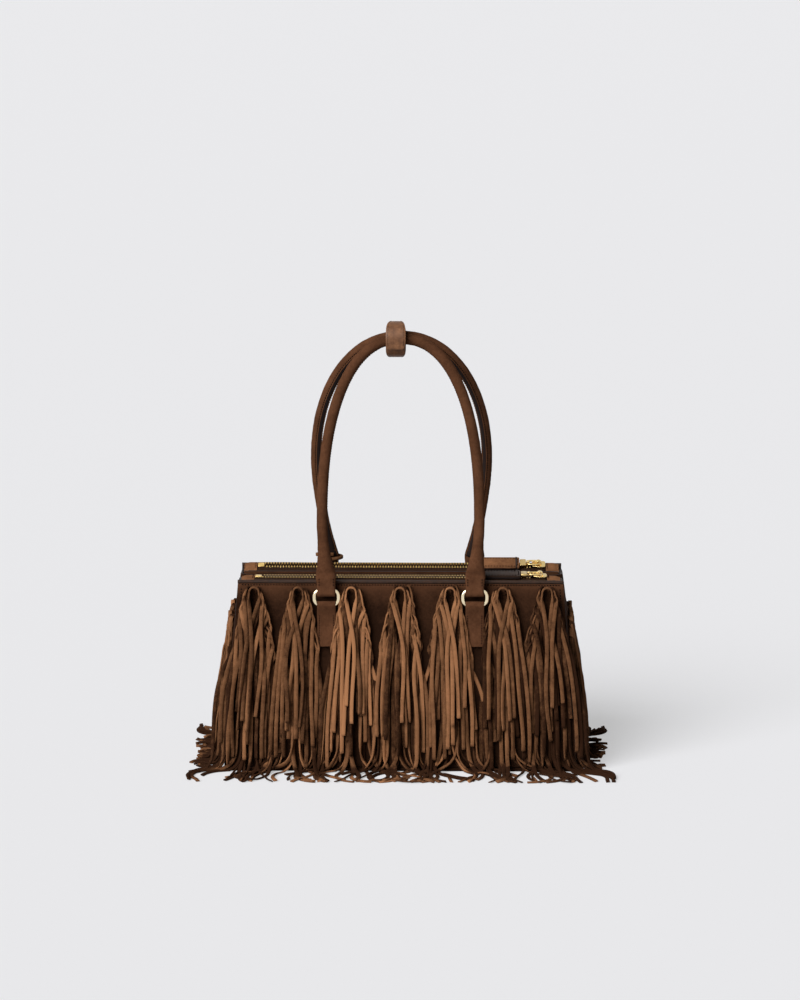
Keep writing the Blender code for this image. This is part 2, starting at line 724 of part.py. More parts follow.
def fringe_rows():
    """Height, half width, thickness and distance from the wall of a hanging tassel."""
    return [
        (FRINGE_FLOOR, 0.0200, 0.0240, FRINGE_OVER_TABS),
        (0.012, 0.0195, 0.0195, FRINGE_OVER_TABS),
        (0.045, 0.0188, 0.0160, FRINGE_OVER_TABS),
        (TASSEL_TOP - 0.0685, 0.0172, 0.0125, FRINGE_OVER_TABS),
        (TASSEL_TOP - 0.0365, 0.0145, 0.0090, FRINGE_OVER_TABS),
        (TASSEL_TOP - 0.0185, 0.0105, 0.0080, 0.0012),
        (TASSEL_TOP - 0.0085, 0.0082, 0.0065, CLEARANCE),
        (TASSEL_TOP, 0.0050, 0.0045, CLEARANCE),
    ]


def oval(half_width, back, front, sides=12):
    """A flattened ring: across from -half_width to half_width, out from back to front."""
    points = []
    for k in range(sides):
        angle = 2 * math.pi * (k + 0.5) / sides
        across = half_width * signed_power(math.cos(angle), 0.7)
        out = (front - back) / 2 * signed_power(math.sin(angle), 0.7)
        points.append((across, (back + front) / 2 + out))
    return points


def tassel_room(top_x):
    """Half the distance from a tassel to its nearest neighbour, at the top."""
    return min(abs(top_x - other) for other in TASSEL_X if other != top_x) / 2


def make_front_and_rear_fringe(suede):
    for side, row in ((-1, "front"), (1, "rear")):
        for number, top_x in enumerate(TASSEL_X, start=1):
            rings = []
            for z, half_width, thickness, stand_off in fringe_rows():
                spread = half_length(z) / half_length(TASSEL_TOP)
                half_width = min(half_width, tassel_room(top_x) * spread - CLEARANCE)
                x_centre = top_x * spread
                inner_x = max(abs(x_centre) - half_width, 0.0)
                back = panel_depth(inner_x, z) + stand_off
                ring = [
                    Vector((x_centre + across, side * out, z))
                    for across, out in oval(half_width, back, back + thickness)
                ]
                rings.append(ring)
            name = f"{row}_tassel_{number}"
            tassel = add_object(name, loft_mesh(name, rings), suede)
            tassel.data.shade_smooth()


def side_fringe_rows():
    """Height, half width and thickness of the fringe on a gusset."""
    top = PANEL_TOP - SIDE_FRINGE_BELOW_RIM
    return [
        (FRINGE_FLOOR, 0.043, 0.0240),
        (0.012, 0.042, 0.0195),
        (0.045, 0.039, 0.0150),
        (top - 0.064, 0.034, 0.0110),
        (top - 0.032, 0.029, 0.0080),
        (top, 0.022, 0.0045),
    ]


def make_side_fringe(suede):
    for side, name in ((-1, "left_side_fringe"), (1, "right_side_fringe")):
        rings = []
        for z, half_width, thickness in side_fringe_rows():
            back = gusset_reach(FOLD_HALF_WIDTH, z) + 2 * CLEARANCE
            ring = [
                Vector((side * out, across, z))
                for across, out in oval(half_width, back, back + thickness)
            ]
            rings.append(ring)
        fringe = add_object(name, loft_mesh(name, rings), suede)
        fringe.data.shade_smooth()


def main():
    start_scene()
    suede = make_material("suede_brown", (0.130, 0.056, 0.026), 0.9, 0.0)
    fringe = make_material("fringe_suede", (0.200, 0.088, 0.040), 0.9, 0.0)
    edge = make_material("edge_leather", (0.060, 0.036, 0.028), 0.6, 0.0)
    cloth = make_material("zip_tape", (0.045, 0.028, 0.020), 0.8, 0.0)
    brass = make_material("zip_brass", (0.780, 0.500, 0.120), 0.3, 1.0)
    gold = make_material("ring_gold", (0.850, 0.730, 0.450), 0.2, 1.0)

    make_base(suede)
    make_panels(suede)
    make_gussets(suede)
    make_dividers(suede)
    make_bindings(edge)
    make_zip("front", -1, FRONT_ZIP_TILT, cloth, brass, suede)
    make_zip("rear", 1, REAR_ZIP_TILT, cloth, brass, suede)
    make_rings(gold)
    make_ring_tabs(suede)
    make_handle("front_handle", -1, FRONT_ARCH, suede)
    make_handle("rear_handle", 1, REAR_ARCH, suede)
    make_keeper(suede, brass)
    make_tie(suede)
    make_front_and_rear_fringe(fringe)
    make_side_fringe(fringe)


main()
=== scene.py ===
"""Looks of a fringed suede bag: strips that hang and pile up on the floor, napped walls, woven
zip tapes, single teeth, stitched edges and the stage they are lit on. Metres, +Z up, -Y towards
the viewer, in the frame of the CAD.
"""

import math

import bmesh
import bpy
import numpy as np
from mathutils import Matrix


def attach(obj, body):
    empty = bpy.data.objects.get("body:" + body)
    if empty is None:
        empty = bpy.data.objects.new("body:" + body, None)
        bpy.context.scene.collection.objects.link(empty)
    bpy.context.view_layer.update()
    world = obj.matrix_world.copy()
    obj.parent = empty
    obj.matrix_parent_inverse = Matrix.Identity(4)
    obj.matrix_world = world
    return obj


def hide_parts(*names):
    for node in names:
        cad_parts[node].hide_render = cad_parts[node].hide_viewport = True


bl_info = {
    "name": "Fringed suede bag",
    "version": (1, 0, 0),
    "blender": (4, 5, 0),
    "location": "3D View > Sidebar > Bag",
    "description": "Builds the looks of a fringed suede bag round its CAD frame",
    "category": "Object",
}

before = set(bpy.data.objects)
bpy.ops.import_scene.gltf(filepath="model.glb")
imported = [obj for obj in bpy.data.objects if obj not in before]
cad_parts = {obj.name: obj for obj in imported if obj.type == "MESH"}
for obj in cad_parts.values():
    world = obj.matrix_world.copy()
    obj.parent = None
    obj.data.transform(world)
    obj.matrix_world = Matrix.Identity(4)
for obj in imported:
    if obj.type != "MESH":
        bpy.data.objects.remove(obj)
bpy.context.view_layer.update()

# Sizes that the CAD has too
CLEARANCE = 0.0003
RIM_LENGTH = 0.280
BASE_LENGTH = 0.304
RIM_DEPTH = 0.074
BASE_DEPTH = 0.118
PANEL_TOP = 0.1596
WALL = 0.0024
BASE_THICKNESS = 0.003
PANEL_SAG = 0.004
GUSSET_SAG = 0.005
FOLD_DEPTH = 0.012
FOLD_HEIGHT = 0.060
FOLD_HALF_WIDTH = 0.0095
MOUTH_DEPTH = 0.021
BINDING_HEIGHT = 0.0034
BINDING_LIP = 0.0006
BINDING_SHOULDER = 0.0010
BINDING_LIFT = 0.0010
DIVIDER_TOP = 0.161
CHAIN_Y = 0.02375
CHAIN_Z = 0.1631
ZIP_TILTS = {"front": math.radians(6.0), "rear": math.radians(22.0)}
SIDES = {"front": -1, "rear": 1}
TOOTH_ROW_WIDTH = 0.0026
TOOTH_ROW_GAP = 0.0008
TOOTH_THICKNESS = 0.0026
CHAIN_EDGE = TOOTH_ROW_GAP / 2 + TOOTH_ROW_WIDTH
TAPE_FLAT = 0.0019
TAPE_DROP = 0.0008
TAPE_THICKNESS = 0.0009
TAPE_END = 0.1257
CHAIN_LEFT = -0.1196
CHAIN_RIGHT = 0.1137
STOP_LENGTH = 0.0055
END_TAB_LENGTH = 0.0116
END_TAB_THICKNESS = 0.0018
SLIDER_X = 0.1197
SLIDER_LENGTH = 0.012
SLIDER_WIDTH = 0.0092
SLIDER_PLATE = 0.001
SLIDER_INSIDE = 0.00165
PIVOT_HEIGHT = 0.00385
LINK_HOLE = 0.0012
LINK_LENGTH = 0.0095
LINK_WIDTH = 0.006
LINK_WIRE = 0.0008
CLAMP_LENGTH = 0.0055
CLAMP_WIDTH = 0.0095
CLAMP_THICKNESS = 0.0031
PULL_LENGTH = 0.038
PULL_WIDTH = 0.016
PULL_THICKNESS = 0.0026
RING_X = 0.0636
RING_Y = 0.046
RING_LOWER_Z = 0.1436
RING_PITCH = 0.0128
RING_WIDTH = 0.0208
RING_WIRE = 0.0016
RING_BEND = 0.004
BAR_Z = RING_LOWER_Z + RING_PITCH
LOOP_HOLE = 0.002
LOOP_WALL = 0.0014
LOOP_RADIUS = LOOP_HOLE + LOOP_WALL
TAB_WIDTH = 0.015
TAB_FOOT = 0.108
TAB_LEAVES_PANEL = 0.131
HANDLE_RADIUS = 0.0052
HANDLE_APEX_Y = 0.0055
ARCHES = {
    "front": {"half_width": 0.0674, "spring": 0.0596, "rise": 0.152, "power": 2.3},
    "rear": {"half_width": 0.0743, "spring": 0.1016, "rise": 0.111, "power": 2.1},
}
KEEPER_X = -0.0045
KEEPER_Z = 0.3673
KEEPER_BORE = 0.0117
KEEPER_WIDTH = 0.017
KEEPER_THICKNESS = 0.0016
KEEPER_STRAIGHT = 0.0012
SNAP_DIAMETER = 0.007
SNAP_THICKNESS = 0.001
TIE_Z = 0.1664
TASSEL_TOP = 0.1595
TASSEL_X = (-0.126, -0.0874, -0.042, 0.0, 0.042, 0.0874, 0.126)
SIDE_TASSEL_Y = (-0.0215, 0.0215)
SIDE_TASSEL_TOP = 0.133

SHARP_ANGLE = math.radians(50)
# Colour of the painted shade on metal, where a piece's Shade is below 0
METAL_PAINTED_SHADE = (0.190, 0.085, 0.018)
FINISHES = {}


# Settings

class BagColours(bpy.types.PropertyGroup):
    suede_deep: bpy.props.FloatVectorProperty(
        name="Suede, brushed dark", description="Wall and handle suede where its nap lies down",
        default=(0.0300, 0.0118, 0.0054), subtype="COLOR", min=0, max=1)
    suede_light: bpy.props.FloatVectorProperty(
        name="Suede, brushed light", description="Wall and handle suede where its nap stands up",
        default=(0.1050, 0.0440, 0.0210), subtype="COLOR", min=0, max=1)
    fringe_deep: bpy.props.FloatVectorProperty(
        name="Fringe, dark", description="Darkest strips of the fringe",
        default=(0.026, 0.0100, 0.0044), subtype="COLOR", min=0, max=1)
    fringe_light: bpy.props.FloatVectorProperty(
        name="Fringe, light", description="Lightest strips of the fringe",
        default=(0.325, 0.147, 0.0660), subtype="COLOR", min=0, max=1)
    binding: bpy.props.FloatVectorProperty(
        name="Binding", description="Smooth leather on the rim",
        default=(0.020, 0.0125, 0.0095), subtype="COLOR", min=0, max=1)
    edge_paint: bpy.props.FloatVectorProperty(
        name="Edge paint", description="Paint on cut leather edges",
        default=(0.020, 0.013, 0.0115), subtype="COLOR", min=0, max=1)
    tape: bpy.props.FloatVectorProperty(
        name="Zip tape", description="Woven tape beside the teeth",
        default=(0.034, 0.017, 0.010), subtype="COLOR", min=0, max=1)
    lining: bpy.props.FloatVectorProperty(
        name="Lining", description="Cloth inside the compartments",
        default=(0.045, 0.026, 0.018), subtype="COLOR", min=0, max=1)
    thread: bpy.props.FloatVectorProperty(
        name="Thread", description="Stitches",
        default=(0.007, 0.004, 0.003), subtype="COLOR", min=0, max=1)
    brass: bpy.props.FloatVectorProperty(
        name="Zip brass", description="Teeth, stops and the stud of the keeper",
        default=(1.000, 0.700, 0.260), subtype="COLOR", min=0, max=1)
    gold: bpy.props.FloatVectorProperty(
        name="Ring gold", description="Handle rings",
        default=(0.920, 0.800, 0.560), subtype="COLOR", min=0, max=1)
    floor: bpy.props.FloatVectorProperty(
        name="Floor", description="Floor and backdrop",
        default=(0.807, 0.807, 0.807), subtype="COLOR", min=0, max=1)


class BagSizes(bpy.types.PropertyGroup):
    strip_width: bpy.props.FloatProperty(
        name="Strip width", description="Width of a fringe strip", default=0.0033, unit="LENGTH")
    strip_thickness: bpy.props.FloatProperty(
        name="Strip thickness", description="Thickness of a fringe strip", default=0.0014, unit="LENGTH")
    upper_strips: bpy.props.IntProperty(
        name="Upper strips", description="Folded strips in a tassel that end above the floor", default=9)
    long_strips: bpy.props.IntProperty(
        name="Long strips", description="Folded strips in a tassel that reach the floor", default=8)
    tooth_pitch: bpy.props.FloatProperty(
        name="Tooth pitch", description="Distance between two teeth of a row", default=0.00242, unit="LENGTH")
    stitch_length: bpy.props.FloatProperty(
        name="Stitch length", description="Length of a stitch", default=0.0015, unit="LENGTH")
    stitch_gap: bpy.props.FloatProperty(
        name="Stitch gap", description="Gap between two stitches", default=0.0010, unit="LENGTH")
    thread_radius: bpy.props.FloatProperty(
        name="Thread radius", description="Half the thickness of the thread", default=0.00045, unit="LENGTH")


class BagStage(bpy.types.PropertyGroup):
    key: bpy.props.FloatProperty(
        name="Key light", description="Strength of the large lamp on the upper left", default=4.0)
    key_softness: bpy.props.FloatProperty(
        name="Key softness", description="Angle that the key light fills in the sky",
        default=0.75, subtype="ANGLE")
    sky: bpy.props.FloatProperty(
        name="Sky", description="Strength of the light from all round", default=0.07)
    camera_distance: bpy.props.FloatProperty(
        name="Camera distance", description="From the middle of the view", default=3.2, unit="LENGTH")
    camera_height: bpy.props.FloatProperty(
        name="Camera elevation", description="Angle above the horizontal",
        default=math.radians(11), subtype="ANGLE")
    camera_turn: bpy.props.FloatProperty(
        name="Camera turn", description="Angle to the right of the front",
        default=math.radians(0.7), subtype="ANGLE")


# Small helpers

def mix(a, b, t):
    return a + (b - a) * t


def ease(t):
    t = np.clip(t, 0.0, 1.0)
    return t * t * (3 - 2 * t)


def signed_power(value, power):
    return np.sign(value) * np.abs(value) ** power


def unit(vectors):
    length = np.linalg.norm(vectors, axis=-1, keepdims=True)
    return vectors / np.maximum(length, 1e-12)


def joined(*columns):
    """Points from their coordinates, which can be arrays or numbers."""
    return np.stack(np.broadcast_arrays(*columns), -1)


class Shape:
    """Points and faces of one piece, gathered part by part."""

    def __init__(self):
        self.points = []
        self.faces = []
        self.slots = []
        self.flat = []
        self.tones = []

    def add(self, points, faces, slot=0, flat=False, tone=0.0):
        start = len(self.points)
        self.points.extend(map(tuple, np.asarray(points, float).reshape(-1, 3)))
        self.add_faces([[i + start for i in face] for face in faces], slot, flat)
        self.tones.extend(np.broadcast_to(tone, len(self.points) - start).tolist())

    def add_faces(self, faces, slot, flat):
        """Faces over points that are there already."""
        self.faces.extend(tuple(map(int, face)) for face in faces)
        self.slots.extend([slot] * len(faces))
        self.flat.extend([flat] * len(faces))

    def piece(self, name, body, finishes, nodes=(), soft=0.0):
        """The piece on its body, in place of its CAD nodes. soft: how far its sharp edges are rounded."""
        mesh = bpy.data.meshes.new(name)
        mesh.from_pydata(self.points, [], self.faces)
        for finish in finishes:
            mesh.materials.append(FINISHES[finish])
        mesh.polygons.foreach_set("material_index", self.slots)
        mesh.polygons.foreach_set("use_smooth", [not flat for flat in self.flat])
        # tone: random colour variation and painted shade, point by point, read by the finishes
        tone = mesh.attributes.new("tone", "FLOAT", "POINT")
        tone.data.foreach_set("value", self.tones)
        mesh.update()
        item = bpy.data.objects.new(name, mesh)
        bpy.context.scene.collection.objects.link(item)
        if soft:
            bevel = item.modifiers.new("Soft edges", "BEVEL")
            bevel.width = soft
            bevel.segments = 2
            bevel.limit_method = "ANGLE"
            bevel.angle_limit = SHARP_ANGLE
        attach(item, body)
        if nodes:
            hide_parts(*nodes)


def tube_faces(rings, sides):
    """Side faces of a loft whose rings hold equally many points, and its two end faces."""
    i = np.arange(rings - 1)[:, None]
    j = np.arange(sides)[None, :]
    a = i * sides + j
    b = i * sides + (j + 1) % sides
    side = np.stack([a, b, b + sides, a + sides], -1).reshape(-1, 4)
    last = (rings - 1) * sides
    return side.tolist(), [range(sides - 1, -1, -1), range(last, last + sides)]


def loft(shape, rings, slot=0, end_slot=None, tone=0.0):
    """A closed skin over rings of points (rings x sides x 3), with flat ends."""
    rings = np.asarray(rings)
    side, ends = tube_faces(rings.shape[0], rings.shape[1])
    start = len(shape.points)
    shape.add(rings, side, slot, tone=tone)
    end_slot = slot if end_slot is None else end_slot
    shape.add_faces([[i + start for i in face] for face in ends], end_slot, True)


def slab(shape, outer, inner, slots=(0, 0, 0), tone=0.0):
    """A wall between two grids of points. slots: outer face, inner face, edges."""
    rows, columns = outer.shape[:2]
    i = np.arange(rows - 1)[:, None]
    j = np.arange(columns - 1)[None, :]
    a = i * columns + j
    quads = np.stack([a, a + 1, a + columns + 1, a + columns], -1).reshape(-1, 4)
    start = len(shape.points)
    under = start + rows * columns
    shape.add(outer, quads.tolist(), slots[0], tone=np.ravel(tone))
    shape.add(inner, quads[:, ::-1].tolist(), slots[1])
    border = list(range(columns))
    border += [r * columns + columns - 1 for r in range(1, rows)]
    border += [(rows - 1) * columns + c for c in range(columns - 2, -1, -1)]
    border += [r * columns for r in range(rows - 2, 0, -1)]
    edges = [(start + q, start + p, under + p, under + q) for p, q in zip(border, border[1:] + border[:1])]
    shape.add_faces(edges, slots[2], False)


def plate(outline, low, high, bevel, segments=2, sharp=SHARP_ANGLE):
    """Points and faces of an outline drawn out from low to high, its sharp edges rounded."""
    bm = bmesh.new()
    face = bm.faces.new([bm.verts.new((x, y, low)) for x, y in outline])
    for item in bmesh.ops.extrude_face_region(bm, geom=[face])["geom"]:
        if isinstance(item, bmesh.types.BMVert):
            item.co.z = high
    bmesh.ops.recalc_face_normals(bm, faces=bm.faces)
    edges = [edge for edge in bm.edges if edge.calc_face_angle(0.0) > sharp]
    bmesh.ops.bevel(bm, geom=edges, offset=bevel, segments=segments, profile=0.5, affect="EDGES")
    bmesh.ops.recalc_face_normals(bm, faces=bm.faces)
    bm.verts.index_update()
    points = np.array([tuple(vert.co) for vert in bm.verts])
    faces = [tuple(vert.index for vert in face.verts) for face in bm.faces]
    bm.free()
    return points, faces


def rounded_rectangle(length, width, radius, steps):
    points = []
    for corner, (cx, cy) in enumerate(((1, 1), (-1, 1), (-1, -1), (1, -1))):
        for step in range(steps + 1):
            angle = math.pi / 2 * (corner + step / steps)
            x = cx * (length / 2 - radius) + radius * math.cos(angle)
            y = cy * (width / 2 - radius) + radius * math.sin(angle)
            points.append((x, y))
    return points


def wire_loop(shape, path, radius, plane_normal, sides):
    """A round wire along a closed flat path."""
    path = np.asarray(path, float)
    tangent = unit(np.roll(path, -1, axis=0) - np.roll(path, 1, axis=0))
    normal = np.broadcast_to(np.asarray(plane_normal, float), path.shape)
    out = unit(np.cross(tangent, normal))
    angles = (np.arange(sides) * 2 * math.pi / sides)[None, :, None]
    rings = path[:, None] + radius * (np.cos(angles) * out[:, None] + np.sin(angles) * normal[:, None])
    side, _ = tube_faces(len(path) + 1, sides)
    shape.add(rings, [[i % (len(path) * sides) for i in face] for face in side])


def resample(path, step):
    """Equally spaced points along a polyline."""
    path = np.asarray(path, float)
    lengths = np.concatenate([[0], np.cumsum(np.linalg.norm(np.diff(path, axis=0), axis=1))])
    count = max(int(round(lengths[-1] / step)), 1) + 1
    at = np.linspace(0, lengths[-1], count)
    return joined(*(np.interp(at, lengths, path[:, k]) for k in range(3)))


def smooth_line(path, rounds=2):
    """Cuts the corners of an open polyline."""
    path = np.asarray(path, float)
    for _ in range(rounds):
        low = mix(path[:-1], path[1:], 0.25)
        high = mix(path[:-1], path[1:], 0.75)
        inner = np.stack([low, high], 1).reshape(-1, path.shape[1])
        path = np.concatenate([path[:1], inner[1:-1], path[-1:]])
    return path


def smooth_outline(points, rounds=2):
    """Cuts the corners of a closed polyline."""
    points = np.asarray(points, float)
    for _ in range(rounds):
        after = np.roll(points, -1, axis=0)
        points = np.stack([mix(points, after, 0.25), mix(points, after, 0.75)], 1).reshape(-1, 2)
    return points


def line_normals(line):
    """The left-hand normals of a line in a plane."""
    ahead = unit(np.gradient(line, axis=0))
    return joined(-ahead[:, 1], ahead[:, 0])


# Place along a stitch, share of the thread's radius and lift off the leather, of its rings
STITCH_PROFILE = (
    (-0.5, 0.35, -0.9), (-0.36, 0.9, -0.1), (0.0, 1.0, 0.25), (0.36, 0.9, -0.1), (0.5, 0.35, -0.9),
)


def stitches(shape, path, out, sizes, slot=0, scale=1.0):
    """A row of stitches along a path. out: the direction they stand off the leather."""
    length = sizes.stitch_length * scale
    radius = sizes.thread_radius * scale
    path = resample(path, length + sizes.stitch_gap * scale)
    out = unit(np.asarray(out, float))
    angles = np.arange(6)[:, None] * math.pi / 3
    for a, b in zip(path[:-1], path[1:]):
        along = unit(b - a)
        across = unit(np.cross(along, out))
        rings = []
        for place, size, lift in STITCH_PROFILE:
            centre = (a + b) / 2 + along * place * length + out * radius * lift
            rings.append(centre + radius * size * (np.cos(angles) * across + np.sin(angles) * out))
        loft(shape, rings, slot)


# Shape of the body, as in the CAD, for numbers and arrays

def half_length(z):
    return mix(BASE_LENGTH, RIM_LENGTH, z / PANEL_TOP) / 2


def half_depth(z):
    return mix(BASE_DEPTH, RIM_DEPTH, z / PANEL_TOP) / 2


def panel_depth(x, z):
    along = np.cos(math.pi / 2 * np.minimum(np.abs(x) / half_length(z), 1.0))
    up = np.sin(math.pi * np.clip(z / PANEL_TOP, 0.0, 1.0))
    return half_depth(z) + PANEL_SAG * along * up


def gusset_reach(y, z):
    across = np.maximum(np.cos(math.pi / 2 * np.clip(y / half_depth(z), -1, 1)), 0.0)
    up = np.sin(math.pi * np.clip(z / PANEL_TOP, 0.0, 1.0))
    fold = np.cos(math.pi / 2 * np.clip(y / FOLD_HALF_WIDTH, -1, 1)) ** 2
    reach = half_length(z) + GUSSET_SAG * across * up
    return reach - FOLD_DEPTH * fold * ease(1 - (PANEL_TOP - z) / FOLD_HEIGHT)


def ripple(a, b, seed, size):
    """Soft unevenness of leather, made of a few waves."""
    rng = np.random.default_rng(seed)
    total = 0.0
    for _ in range(6):
        wave = rng.uniform(25, 110, 2) * rng.choice([-1, 1], 2)
        total = total + np.sin(wave[0] * a + wave[1] * b + rng.uniform(0, 6.3))
    return size * total / 6


# Finishes

class Signal:
    """A node's output, on which arithmetic adds Math nodes."""

    def __init__(self, tree, socket):
        self.tree = tree
        self.socket = socket

    def maths(self, operation, a, b, clamp=False):
        inputs = {0: a, 1: b}
        return Signal(self.tree, add_node(
            self.tree, "ShaderNodeMath", inputs, operation=operation, use_clamp=clamp).outputs[0])

    def __add__(self, other):
        return self.maths("ADD", self, other)

    def __sub__(self, other):
        return self.maths("SUBTRACT", self, other)

    def __rsub__(self, other):
        return self.maths("SUBTRACT", other, self)

    def __mul__(self, other):
        return self.maths("MULTIPLY", self, other)

    def __pow__(self, other):
        return self.maths("POWER", self, other)

    def clamped_sum(self, other):
        return self.maths("ADD", self, other, True)

    def clamped_product(self, other):
        return self.maths("MULTIPLY", self, other, True)

    def at_least(self, other):
        return self.maths("MAXIMUM", self, other)

    def sine(self):
        return self.maths("SINE", self, 0.0)

    def blend(self, a, b):
        """The mix of two colours by this signal."""
        mixer = add_node(self.tree, "ShaderNodeMix", {}, data_type="RGBA")
        fill_sockets(self.tree, mixer, {0: self, 6: a, 7: b})
        return Signal(self.tree, mixer.outputs[2])

    def noise(self, scale, detail=3.0, roughness=0.6):
        """Noise in the space of this vector."""
        inputs = {"Vector": self, "Scale": scale, "Detail": detail, "Roughness": roughness}
        return Signal(self.tree, add_node(self.tree, "ShaderNodeTexNoise", inputs).outputs["Fac"])

    def split(self):
        """The three parts of this vector."""
        parts = add_node(self.tree, "ShaderNodeSeparateXYZ", {0: self}).outputs
        return [Signal(self.tree, part) for part in parts]


def fill_sockets(tree, node, inputs):
    for key, value in inputs.items():
        if isinstance(value, Signal):
            tree.links.new(value.socket, node.inputs[key])
        else:
            node.inputs[key].default_value = value


def add_node(tree, kind, inputs, **properties):
    node = tree.nodes.new(kind)
    for key, value in properties.items():
        setattr(node, key, value)
    fill_sockets(tree, node, inputs)
    return node


def start_group(name, colours, values, outputs):
    """A node group that takes a Vector, colours and values. Returns its inputs and what fills its outputs."""
    tree = bpy.data.node_groups.new(name, "ShaderNodeTree")
    tree.interface.new_socket("Vector", in_out="INPUT", socket_type="NodeSocketVector")
    for label in colours:
        tree.interface.new_socket(label, in_out="INPUT", socket_type="NodeSocketColor")
    for label, value in values.items():
        socket = tree.interface.new_socket(label, in_out="INPUT", socket_type="NodeSocketFloat")
        socket.default_value = value
    for label in outputs:
        kind = "NodeSocketColor" if label == "Colour" else "NodeSocketFloat"
        tree.interface.new_socket(label, in_out="OUTPUT", socket_type=kind)
    sockets = tree.nodes.new("NodeGroupInput").outputs
    given = {socket.name: Signal(tree, socket) for socket in sockets if socket.name}
    result = tree.nodes.new("NodeGroupOutput")

    def finish(**signals):
        fill_sockets(tree, result, signals)
        return tree

    return given, finish


def make_nap_group():
    """Suede: cloudy brushed patches, short fibres and a fine grain."""
    values = {"Patch scale": 35.0, "Patches": 1.0, "Fibres": 0.5, "Tone": 0.0}
    given, finish = start_group("Suede nap", ("Deep", "Light"), values, ("Colour", "Height"))
    flecks = given["Vector"].noise(380.0)
    fibres = given["Vector"].noise(2400.0, 3.0, 0.75)
    cloudy = (given["Vector"].noise(given["Patch scale"], 4.0) - 0.5) * given["Patches"]
    fine = (fibres - 0.5) * given["Fibres"]
    total = cloudy + (flecks - 0.5) * given["Fibres"] + fine * 1.6
    value = (total + given["Tone"]).clamped_sum(0.45)
    return finish(Colour=value.blend(given["Deep"], given["Light"]), Height=flecks * 0.6 + fibres)


def make_grain_group():
    """Smooth leather: small pores and creases, with lighter worn spots."""
    given, finish = start_group(
        "Leather grain", ("Base", "Worn"), {"Wear": 0.3}, ("Colour", "Roughness", "Height"))
    vector = given["Vector"]
    cells = add_node(vector.tree, "ShaderNodeTexVoronoi", {"Vector": vector, "Scale": 1500.0})
    creases = vector.noise(260.0, 4.0)
    worn = (creases ** 2.0).clamped_product(given["Wear"])
    return finish(
        Colour=worn.blend(given["Base"], given["Worn"]), Roughness=creases * 0.3 + 0.3,
        Height=Signal(vector.tree, cells.outputs["Distance"]) + creases)


def make_weave_group():
    """Woven cloth: two crossing sets of threads."""
    given, finish = start_group("Weave", ("Deep", "Light"), {"Threads": 9000.0}, ("Colour", "Height"))
    x, y, z = given["Vector"].split()
    crossing = (x * given["Threads"]).sine() * ((y + z) * given["Threads"]).sine()
    fuzz = given["Vector"].noise(900.0)
    mask = (crossing * 0.3).clamped_sum(fuzz)
    return finish(Colour=mask.blend(given["Deep"], given["Light"]), Height=crossing + fuzz)


def make_metal_group():
    """Polished metal: faint clouds of tarnish and hairline scratches, with painted shade where Shade is below
    0.
    """
    given, finish = start_group(
        "Polished metal", ("Base", "Tarnish"), {"Roughness": 0.2, "Shade": 0.0},
        ("Colour", "Roughness", "Height"))
    vector = given["Vector"]
    stretch = add_node(
        vector.tree, "ShaderNodeVectorMath", {0: vector, 1: (1.0, 6.0, 9.0)}, operation="MULTIPLY")
    scratches = Signal(vector.tree, stretch.outputs[0]).noise(900.0, 2.0)
    clouds = vector.noise(160.0, 3.0, 0.5)
    metal = (clouds ** 2.5).blend(given["Base"], given["Tarnish"])
    metal = given["Shade"].clamped_product(-1.0).blend(metal, rgba(METAL_PAINTED_SHADE))
    return finish(Colour=metal, Roughness=given["Roughness"] + scratches * 0.14, Height=scratches)


def rgba(colour, factor=1.0):
    return (*[min(c * factor, 1.0) for c in colour[:3]], 1.0)


def add_finish(name, group, bump, distance, given, tone_input=None, **sockets):
    """A material whose shader takes its varying inputs from a group, in the piece's own coordinates."""
    material = bpy.data.materials.new(name)
    material.use_nodes = True
    tree = material.node_tree
    shader = tree.nodes["Principled BSDF"]
    fill_sockets(tree, shader, {key.replace("_", " "): value for key, value in sockets.items()})
    where = Signal(tree, tree.nodes.new("ShaderNodeTexCoord").outputs["Object"])
    if tone_input:
        attribute = add_node(tree, "ShaderNodeAttribute", {}, attribute_name="tone")
        given[tone_input] = Signal(tree, attribute.outputs["Fac"])
    effect = add_node(tree, "ShaderNodeGroup", {}, node_tree=group)
    fill_sockets(tree, effect, {"Vector": where, **given})
    out = {socket.name: Signal(tree, socket) for socket in effect.outputs}
    height = {"Height": out["Height"], "Strength": bump, "Distance": distance}
    normal = add_node(tree, "ShaderNodeBump", height).outputs["Normal"]
    fill_sockets(tree, shader, {"Base Color": out["Colour"], "Normal": Signal(tree, normal)})
    if "Roughness" in out:
        fill_sockets(tree, shader, {"Roughness": out["Roughness"]})
    FINISHES[name] = material


